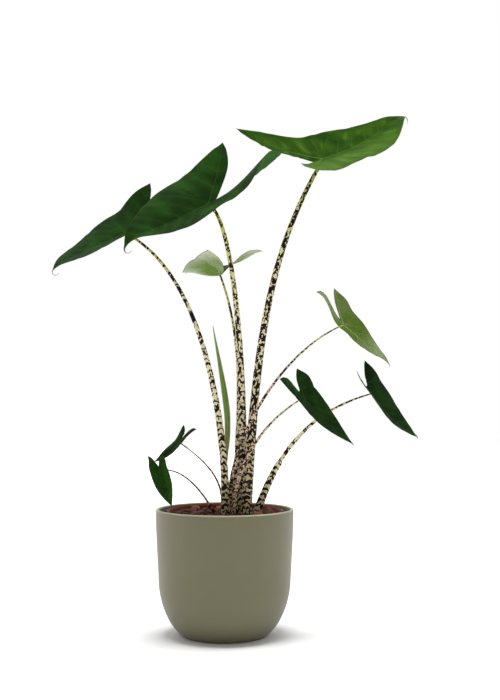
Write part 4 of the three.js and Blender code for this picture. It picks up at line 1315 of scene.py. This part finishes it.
def notch_rows(leaf, side, detail):
    margin = notch_margin(leaf, side)
    tip = lobe_tip(side)
    lobe_veins = vein_counts(leaf)[1]
    count = lobe_veins * detail["rows"]
    columns = np.linspace(0, 1, detail["notch_columns"] + 1) ** NOTCH_CROWDING
    shares = np.linspace(0, 1, count + 1)
    edges = along(margin, shares)
    clear = NOTCH_CLEARANCE * clamp01(8 * shares)
    edges[:, 1] = np.maximum(edges[:, 1], clear)
    rows = []
    for share, edge in zip(shares, edges):
        rows.append(vein_row(tip * share, edge, lobe_direction(side) * share, columns))
    rows = np.array(rows)
    rows[..., 1] = np.maximum(rows[..., 1], clear[:, None])
    return rows, -FAN_VEINS - lobe_veins * shares, 1 + shares, columns


def rib_course(leaf, side):
    """The bent midrib, and the line behind the joint, as a table to look up by distance."""
    step = 0.25
    ahead = np.arange(0, leaf["length"] + leaf["drip"] + 2, step)
    middle = ahead + step / 2
    share = middle / leaf["length"]
    slope = -math.radians(leaf["droop"]) * clamp01(share) ** DROOP_POWER
    slope -= math.radians(leaf["tip_curl"]) * smooth(
        (share - TIP_CURL_START) / (1 - TIP_CURL_START))
    slope -= math.radians(leaf["drip_curl"]) * clamp01((middle - leaf["length"]) / leaf["drip"])
    back = np.arange(0, side["lobe"] + 2, step)
    level = max(LIFT_START, leaf["notch"] / side["lobe"])
    raised = ((back + step / 2) / side["lobe"] - level) / (1 - level)
    back_slope = -math.radians(side["lift"]) * clamp01(raised)

    def summed(values):
        return np.concatenate(([0], np.cumsum(values * step)[:-1]))

    distance = np.concatenate((-back[:0:-1], ahead))
    x = np.concatenate((-summed(np.cos(back_slope))[:0:-1], summed(np.cos(slope))))
    z = np.concatenate((-summed(np.sin(back_slope))[:0:-1], summed(np.sin(slope))))
    slopes = np.concatenate((back_slope[:0:-1], slope))
    return distance, x, z, slopes


def bent_points(leaf, side, sign, flat):
    """Flat points of one half (second coordinate positive), bent about the midrib."""
    distance, x, z, slopes = rib_course(leaf, side)
    ahead, across = flat[:, 0], flat[:, 1]
    slope = np.interp(ahead, distance, slopes)
    on_lobe = smooth(-ahead / (LOBE_FOLD_REACH * side["lobe"]))
    near_tip = smooth(ahead / (TIP_FOLD_REACH * leaf["length"]))
    fold = np.radians(side["fold"] + side["lobe_fold"] * on_lobe + side["tip_fold"] * near_tip)
    bend = (math.radians(side["cup"]) or 1e-6) / side["width"]
    sideways = (np.sin(fold + bend * across) - np.sin(fold)) / bend
    rise = (np.cos(fold) - np.cos(fold + bend * across)) / bend
    return np.stack((
        np.interp(ahead, distance, x) - np.sin(slope) * rise,
        sign * sideways,
        np.interp(ahead, distance, z) + np.cos(slope) * rise), 1)


def rib_profile(leaf, side, flat):
    """Distance from the nearest main rib, where 1 is its edge, and the place along that rib."""
    ahead, across = flat[:, 0], flat[:, 1]
    stem = leaf["radii"][1]
    tip = lobe_tip(side)
    share_mid = clamp01(ahead / leaf["length"])
    off_mid = np.hypot(np.minimum(ahead, 0), across)
    share_lobe = clamp01((flat @ tip) / side["lobe"] ** 2)
    off_lobe = np.linalg.norm(flat - share_lobe[:, None] * tip, axis=1)
    wide_mid = mix(MIDRIB_WIDTH * stem + RIB_FILLET, MIDRIB_END, share_mid**0.6)
    wide_lobe = mix(LOBE_RIB_WIDTH * stem + RIB_FILLET, LOBE_RIB_END, share_lobe**0.6)
    on_mid, on_lobe = off_mid / wide_mid, off_lobe / wide_lobe
    nearest = np.minimum(on_mid, on_lobe)
    share = np.where(on_mid < on_lobe, share_mid, share_lobe)
    return nearest, share


def blade_points(leaf, detail):
    """Flat points, faces and painted values of the whole blade, both halves joined."""
    keys, flats, halves, faces = {}, [], [], []
    values = {name: [] for name in ("phase", "gap", "rim", "place", "share", "notch")}
    for sign, side in ((1, leaf["left"]), (-1, leaf["right"])):
        for notch, (rows, phases, places, columns) in enumerate((
                outer_rows(leaf, side, detail), notch_rows(leaf, side, detail))):
            gaps = vein_gaps(rows, phases)
            index = np.zeros(rows.shape[:2], dtype=int)
            for i, row in enumerate(rows):
                span = np.linalg.norm(row[-1] - row[0])
                for j, point in enumerate(row):
                    key = (round(point[0], 2), round(sign * point[1], 2) + 0.0)
                    if key not in keys:
                        keys[key] = len(flats)
                        flats.append(point)
                        halves.append(sign)
                        values["phase"].append(phases[i])
                        values["gap"].append(gaps[i, j])
                        values["rim"].append((1 - columns[j]) * span)
                        values["place"].append(places[i])
                        values["share"].append(columns[j])
                        values["notch"].append(notch)
                    index[i, j] = keys[key]
            for i in range(len(rows) - 1):
                for j in range(len(columns) - 1):
                    loop = [index[i, j], index[i, j + 1], index[i + 1, j + 1], index[i + 1, j]]
                    if (sign < 0) != bool(notch):
                        loop.reverse()
                    loop = [v for k, v in enumerate(loop) if v != loop[k - 1]]
                    if len(set(loop)) == len(loop) > 2:
                        faces.append(loop)
    values = {name: np.array(listed, dtype=float) for name, listed in values.items()}
    return np.array(flats), np.array(halves), faces, values


def vein_gaps(rows, phases):
    """Distance between neighbouring side veins at each point, across the veins."""
    step = np.gradient(rows, axis=0)
    count = np.abs(np.gradient(phases))[:, None]
    course = unit(np.gradient(rows, axis=1))
    sideways = np.abs(step[..., 0] * course[..., 1] - step[..., 1] * course[..., 0])
    return sideways / np.maximum(count, 1e-6)


def vertex_normals(points, faces):
    normals = np.zeros_like(points)
    for count in (3, 4):
        chosen = np.array([f for f in faces if len(f) == count])
        if not len(chosen):
            continue
        a, b, c = (points[chosen[:, k]] for k in (0, 1, 2))
        d = points[chosen[:, count - 1]]
        across = np.cross(c - a, d - b) if count == 4 else np.cross(b - a, c - a)
        for k in range(count):
            np.add.at(normals, chosen[:, k], across)
    return unit(normals)


def blade_relief(leaf, values, nearest, seed):
    """Height over the plain bent blade: slight bulges between veins, and a softly waved margin
    that is calm at the drip tip and in the notch. Each seed gives a blade its own waves."""
    share = values["share"]
    between = np.sin(math.pi * values["phase"]) ** 2
    inner = smooth(share / 0.15) * (1 - 0.75 * smooth((share - 0.6) / 0.4))
    bulge = np.minimum(BULGE_LIMIT, BULGE_SHARE * values["gap"]) * between * inner
    bulge *= smooth((nearest - 1) / 2)
    wander = np.array([noise.noise(Vector((p * 7, seed * 3.7, 0))) for p in values["place"]])
    wave = np.sin(TURN * (values["place"] / WAVE_LENGTH + 0.9 * wander + 0.37 * seed))
    calm = smooth(values["place"] / 0.08) * np.where(
        values["notch"] > 0, smooth((values["place"] - 1) / 0.25), 1)
    strength = leaf["length"] / WAVE_DIVISOR * (0.6 + 0.8 * wander)
    return bulge + strength * wave * share**3 * calm


PATTERN_LAYER = 50.0       # distance between the slices of the pattern that two blades show
# How much lighter or darker a blade's upper side is drawn than most
TONES = {"upper_left": 0.85, "lower_front": 0.75, "lower_right": 0.6, "low_left_front": 1.7}


def build_blade(name, leaf, seed, top, under, settings):
    detail = DETAIL
    if leaf["length"] < SMALL_BLADE:
        detail = DETAIL_SMALL
    flats, halves, faces, values = blade_points(leaf, detail)
    points = np.zeros((len(flats), 3))
    nearest, rib_share = np.zeros(len(flats)), np.zeros(len(flats))
    for sign, side in ((1, leaf["left"]), (-1, leaf["right"])):
        chosen = halves == sign
        points[chosen] = bent_points(leaf, side, sign, flats[chosen])
        nearest[chosen], rib_share[chosen] = rib_profile(leaf, side, flats[chosen])
    flat_normals = vertex_normals(points, faces)
    points += flat_normals * blade_relief(leaf, values, nearest, seed)[:, None]
    normals = vertex_normals(points, faces)

    stem = leaf["radii"][1]
    ridge = np.cos(np.clip(nearest, 0, 1) * math.pi / 2) ** 1.2
    ridge_height = mix(RIB_HEIGHT * stem, RIB_END_HEIGHT, rib_share**0.55)
    from_vein = np.abs((values["phase"] + 0.5) % 1 - 0.5) * values["gap"]
    vein_line = np.exp(-(from_vein / VEIN_WIDTH) ** 2) * (1 - 0.8 * values["share"])
    thin = EDGE_SHARE + (1 - EDGE_SHARE) * smooth(values["rim"] / EDGE_REACH)
    half_tissue = settings.tissue / MM / 2 * thin
    above = half_tissue + RIB_ABOVE * ridge * ridge_height
    below = half_tissue + ridge * ridge_height + VEIN_RELIEF * vein_line * (nearest > 1)
    upper = points + normals * above[:, None]
    lower = points - normals * below[:, None]

    count = len(points)
    turn = blade_turn(leaf)
    both = np.concatenate((upper, lower)) @ turn.T + np.array(leaf["joint"], dtype=float)
    low, high = (np.array(corner) / MM for corner in CAD_BOX)
    both = np.clip(both, low, high)
    loops = [tuple(f) for f in faces] + [tuple(count + v for v in f[::-1]) for f in faces]
    edges = {(f[k - 1], v): None for f in faces for k, v in enumerate(f)}
    loops += [(b, a, count + a, count + b) for a, b in edges if (b, a) not in edges]
    piece = new_mesh_object("blade_" + name + "_tissue", both, loops)
    piece.data.materials.append(top)
    piece.data.materials.append(under)
    for i, face in enumerate(piece.data.polygons):
        face.material_index = 0 if i < len(faces) else 1
    layer = np.full(count, PATTERN_LAYER * seed)
    signed = np.stack((flats[:, 0], flats[:, 1] * halves, layer), 1)
    thin_rib = (1 - smooth((nearest - 0.1) / 0.22)) * (1 - 0.65 * rib_share)
    store(piece, "rib", np.concatenate((thin_rib, 1 - smooth((nearest - 0.45) / 0.5))))
    tone = np.full(count, TONES.get(name, 1.0))
    for label, painted in (
            ("tone", tone), ("flat", signed), ("phase", values["phase"]), ("gap", values["gap"]),
            ("rim", values["rim"]), ("out", values["share"])):
        store(piece, label, np.concatenate((painted, painted)))
    hand_over(piece, leaf["slot"], "blade_" + name)


# ------------------------------------------------------------------ operators

FLOOR_REACH = 6.0          # metres from the planter to each side of the floor
LIGHT_SPREAD = 24          # degrees of sky that the overhead light fills
FRAME_HEIGHT = 36
CAMERA_DISTANCE, CAMERA_HEIGHT = 1500, 333
CAMERA_PITCH, CAMERA_YAW = 2.96, 1.40   # degrees upwards and to the right


class ZEBRINA_OT_planter(bpy.types.Operator):
    """Build the matt glazed planter and the moulded inner pot"""
    bl_idname = "zebrina.build_planter"
    bl_label = "Build planter and inner pot"

    def execute(self, context):
        settings = context.scene.zebrina_planter
        planter = new_mesh_object("planter_body", *turned(planter_profile(), 192))
        planter.data.materials.append(matt_glaze(settings))
        hand_over(planter, "planter", "planter")
        inner = new_mesh_object("grow_pot_body", *turned(grow_pot_profile(), 160))
        inner.data.materials.append(moulded_polypropylene(settings))
        hand_over(inner, "grow_pot", "grow_pot")
        return {"FINISHED"}


class ZEBRINA_OT_soil(bpy.types.Operator):
    """Build the soil, its bark chips and its perlite"""
    bl_idname = "zebrina.build_soil"
    bl_label = "Build soil"

    def execute(self, context):
        settings = context.scene.zebrina_soil
        peat, bark, perlite = damp_peat(settings), broken_bark(settings), expanded_perlite()
        materials = {"bark_chips": bark, "bark_slabs": bark, "peat_crumbs": peat,
                     "perlite_grains": perlite}
        build_soil(peat)
        for name, grains in GRAINS.items():
            count = grains.get("count", settings.bark_count)
            scatter_grains(name, materials[name], **{**grains, "count": count})
        return {"FINISHED"}


class ZEBRINA_OT_stalks(bpy.types.Operator):
    """Build the banded leaf stalks"""
    bl_idname = "zebrina.build_stalks"
    bl_label = "Build leaf stalks"

    def execute(self, context):
        settings = context.scene.zebrina_stalk
        colours = {"ground": settings.ground, "blush": settings.blush, "foot": settings.foot,
                   "top": settings.top, "fringe": settings.fringe, "band": settings.band}
        changes = {
            "banded": {}, "spotted": {"band": settings.dark_band},
            "thin": {"ground": settings.thin_ground,
                     "fringe": settings.thin_band, "band": settings.thin_band},
            "ruddy": {"ground": settings.ruddy_ground, "foot": settings.ruddy_ground,
                      "top": settings.blush, "fringe": settings.thin_band,
                      "band": settings.thin_band},
        }
        kinds = {}
        for kind, changed in changes.items():
            kinds[kind] = zebra_stalk(
                "Fleshy Stalk, " + kind.title(), {**colours, **changed}, PATTERNS[kind])
        for seed, (name, leaf) in enumerate(LEAVES.items()):
            build_stalk(name, leaf, seed, kinds)
        return {"FINISHED"}


class ZEBRINA_OT_blades(bpy.types.Operator):
    """Build the arrow-shaped leaf blades"""
    bl_idname = "zebrina.build_blades"
    bl_label = "Build leaf blades"

    def execute(self, context):
        settings = context.scene.zebrina_blade
        common = {"vein": settings.vein, "glow": settings.glow}
        dark = leaf_top("Waxy Leaf Top, Dark", {
            "green": settings.dark, "deep": settings.dark_deep, "edge": settings.edge,
            **common}, 0.0, 0.3, 0.08)
        light = leaf_top("Waxy Leaf Top, Light", {
            "green": settings.light, "deep": settings.light_deep, "edge": settings.light_edge,
            **common, "vein": settings.light_vein}, 0.7, 0.6, 0.2)
        tops = {"leaf_dark_green": dark, "leaf_light_green": light, "leaf_pale_green": dark}
        # Lower side of the young blade: pale towards the tip and on the lobes, partly painted
        # sheen
        pale_underside_with_sheen = leaf_underside("Pale Leaf Underside With Painted Sheen", {
            "pale": settings.under, "deep": settings.under_deep, "rib": settings.under_rib,
            "edge": settings.edge}, 0.15)
        greening = leaf_underside("Greening Leaf Underside", {
            "pale": settings.greening_under, "deep": settings.under_deep,
            "rib": settings.under_rib, "edge": settings.edge}, 0.15)
        mature = leaf_underside("Mature Leaf Underside", {
            "pale": settings.mature_under, "deep": settings.mature_deep,
            "rib": settings.under_deep, "edge": settings.edge}, 0.1)
        unders = {"young_back": pale_underside_with_sheen, "middle_right": greening}
        for seed, (name, leaf) in enumerate(LEAVES.items()):
            under = unders.get(name, mature)
            build_blade(name, leaf, seed, tops[leaf["slot"]], under, settings)
        return {"FINISHED"}


class ZEBRINA_OT_rolled_leaf(bpy.types.Operator):
    """Build the rolled new leaf"""
    bl_idname = "zebrina.build_rolled_leaf"
    bl_label = "Build rolled leaf"

    def execute(self, context):
        build_rolled_leaf()
        return {"FINISHED"}


class ZEBRINA_OT_stage(bpy.types.Operator):
    """Build the floor, the lights and the camera"""
    bl_idname = "zebrina.build_stage"
    bl_label = "Build stage"

    def execute(self, context):
        settings = context.scene.zebrina_stage
        floor = bpy.data.meshes.new("studio_floor")
        corners = [(x * FLOOR_REACH, y * FLOOR_REACH, 0)
                   for x, y in ((-1, -1), (1, -1), (1, 1), (-1, 1))]
        floor.from_pydata(corners, [], [(0, 1, 2, 3)])
        floor.materials.append(painted_floor(settings))
        ground = bpy.data.objects.new("studio_floor", floor)
        context.scene.collection.objects.link(ground)

        context.scene.world = white_room(settings)
        lamp = bpy.data.lights.new("overhead_softbox", "SUN")
        lamp.energy = settings.overhead
        lamp.angle = math.radians(LIGHT_SPREAD)
        holder = bpy.data.objects.new("overhead_softbox", lamp)
        holder.location = (0, 0, 2)
        holder.visible_glossy = False
        context.scene.collection.objects.link(holder)

        camera = bpy.data.cameras.new("studio_camera")
        camera.sensor_fit = "VERTICAL"
        camera.sensor_height = FRAME_HEIGHT
        camera.lens = settings.camera_lens
        holder = bpy.data.objects.new("studio_camera", camera)
        holder.location = (0, -CAMERA_DISTANCE * MM, CAMERA_HEIGHT * MM)
        holder.rotation_euler = (
            math.pi / 2 + math.radians(CAMERA_PITCH), 0, -math.radians(CAMERA_YAW))
        context.scene.collection.objects.link(holder)
        context.scene.camera = holder
        context.scene.view_settings.view_transform = "Standard"
        return {"FINISHED"}


OPERATORS = (
    ZEBRINA_OT_planter, ZEBRINA_OT_soil, ZEBRINA_OT_stalks, ZEBRINA_OT_blades,
    ZEBRINA_OT_rolled_leaf, ZEBRINA_OT_stage,
)


class ZEBRINA_PT_panel(bpy.types.Panel):
    bl_label = "Potted Zebrina"
    bl_idname = "ZEBRINA_PT_panel"
    bl_space_type = "VIEW_3D"
    bl_region_type = "UI"
    bl_category = "Zebrina"

    def draw(self, context):
        for label, group in SETTINGS.items():
            box = self.layout.box()
            box.label(text=label.split("_")[1].title())
            for field in group.__annotations__:
                box.prop(getattr(context.scene, label), field)
        for operator in OPERATORS:
            self.layout.operator(operator.bl_idname)


def register():
    for group in SETTINGS.values():
        bpy.utils.register_class(group)
    for operator in OPERATORS:
        bpy.utils.register_class(operator)
    bpy.utils.register_class(ZEBRINA_PT_panel)
    for label, group in SETTINGS.items():
        setattr(bpy.types.Scene, label, bpy.props.PointerProperty(type=group))


def unregister():
    for label in SETTINGS:
        delattr(bpy.types.Scene, label)
    bpy.utils.unregister_class(ZEBRINA_PT_panel)
    for operator in reversed(OPERATORS):
        bpy.utils.unregister_class(operator)
    for group in reversed(list(SETTINGS.values())):
        bpy.utils.unregister_class(group)


def main():
    register()
    bpy.ops.zebrina.build_planter()
    bpy.ops.zebrina.build_soil()
    bpy.ops.zebrina.build_stalks()
    bpy.ops.zebrina.build_blades()
    bpy.ops.zebrina.build_rolled_leaf()
    bpy.ops.zebrina.build_stage()


if __name__ == "__main__":
    main()
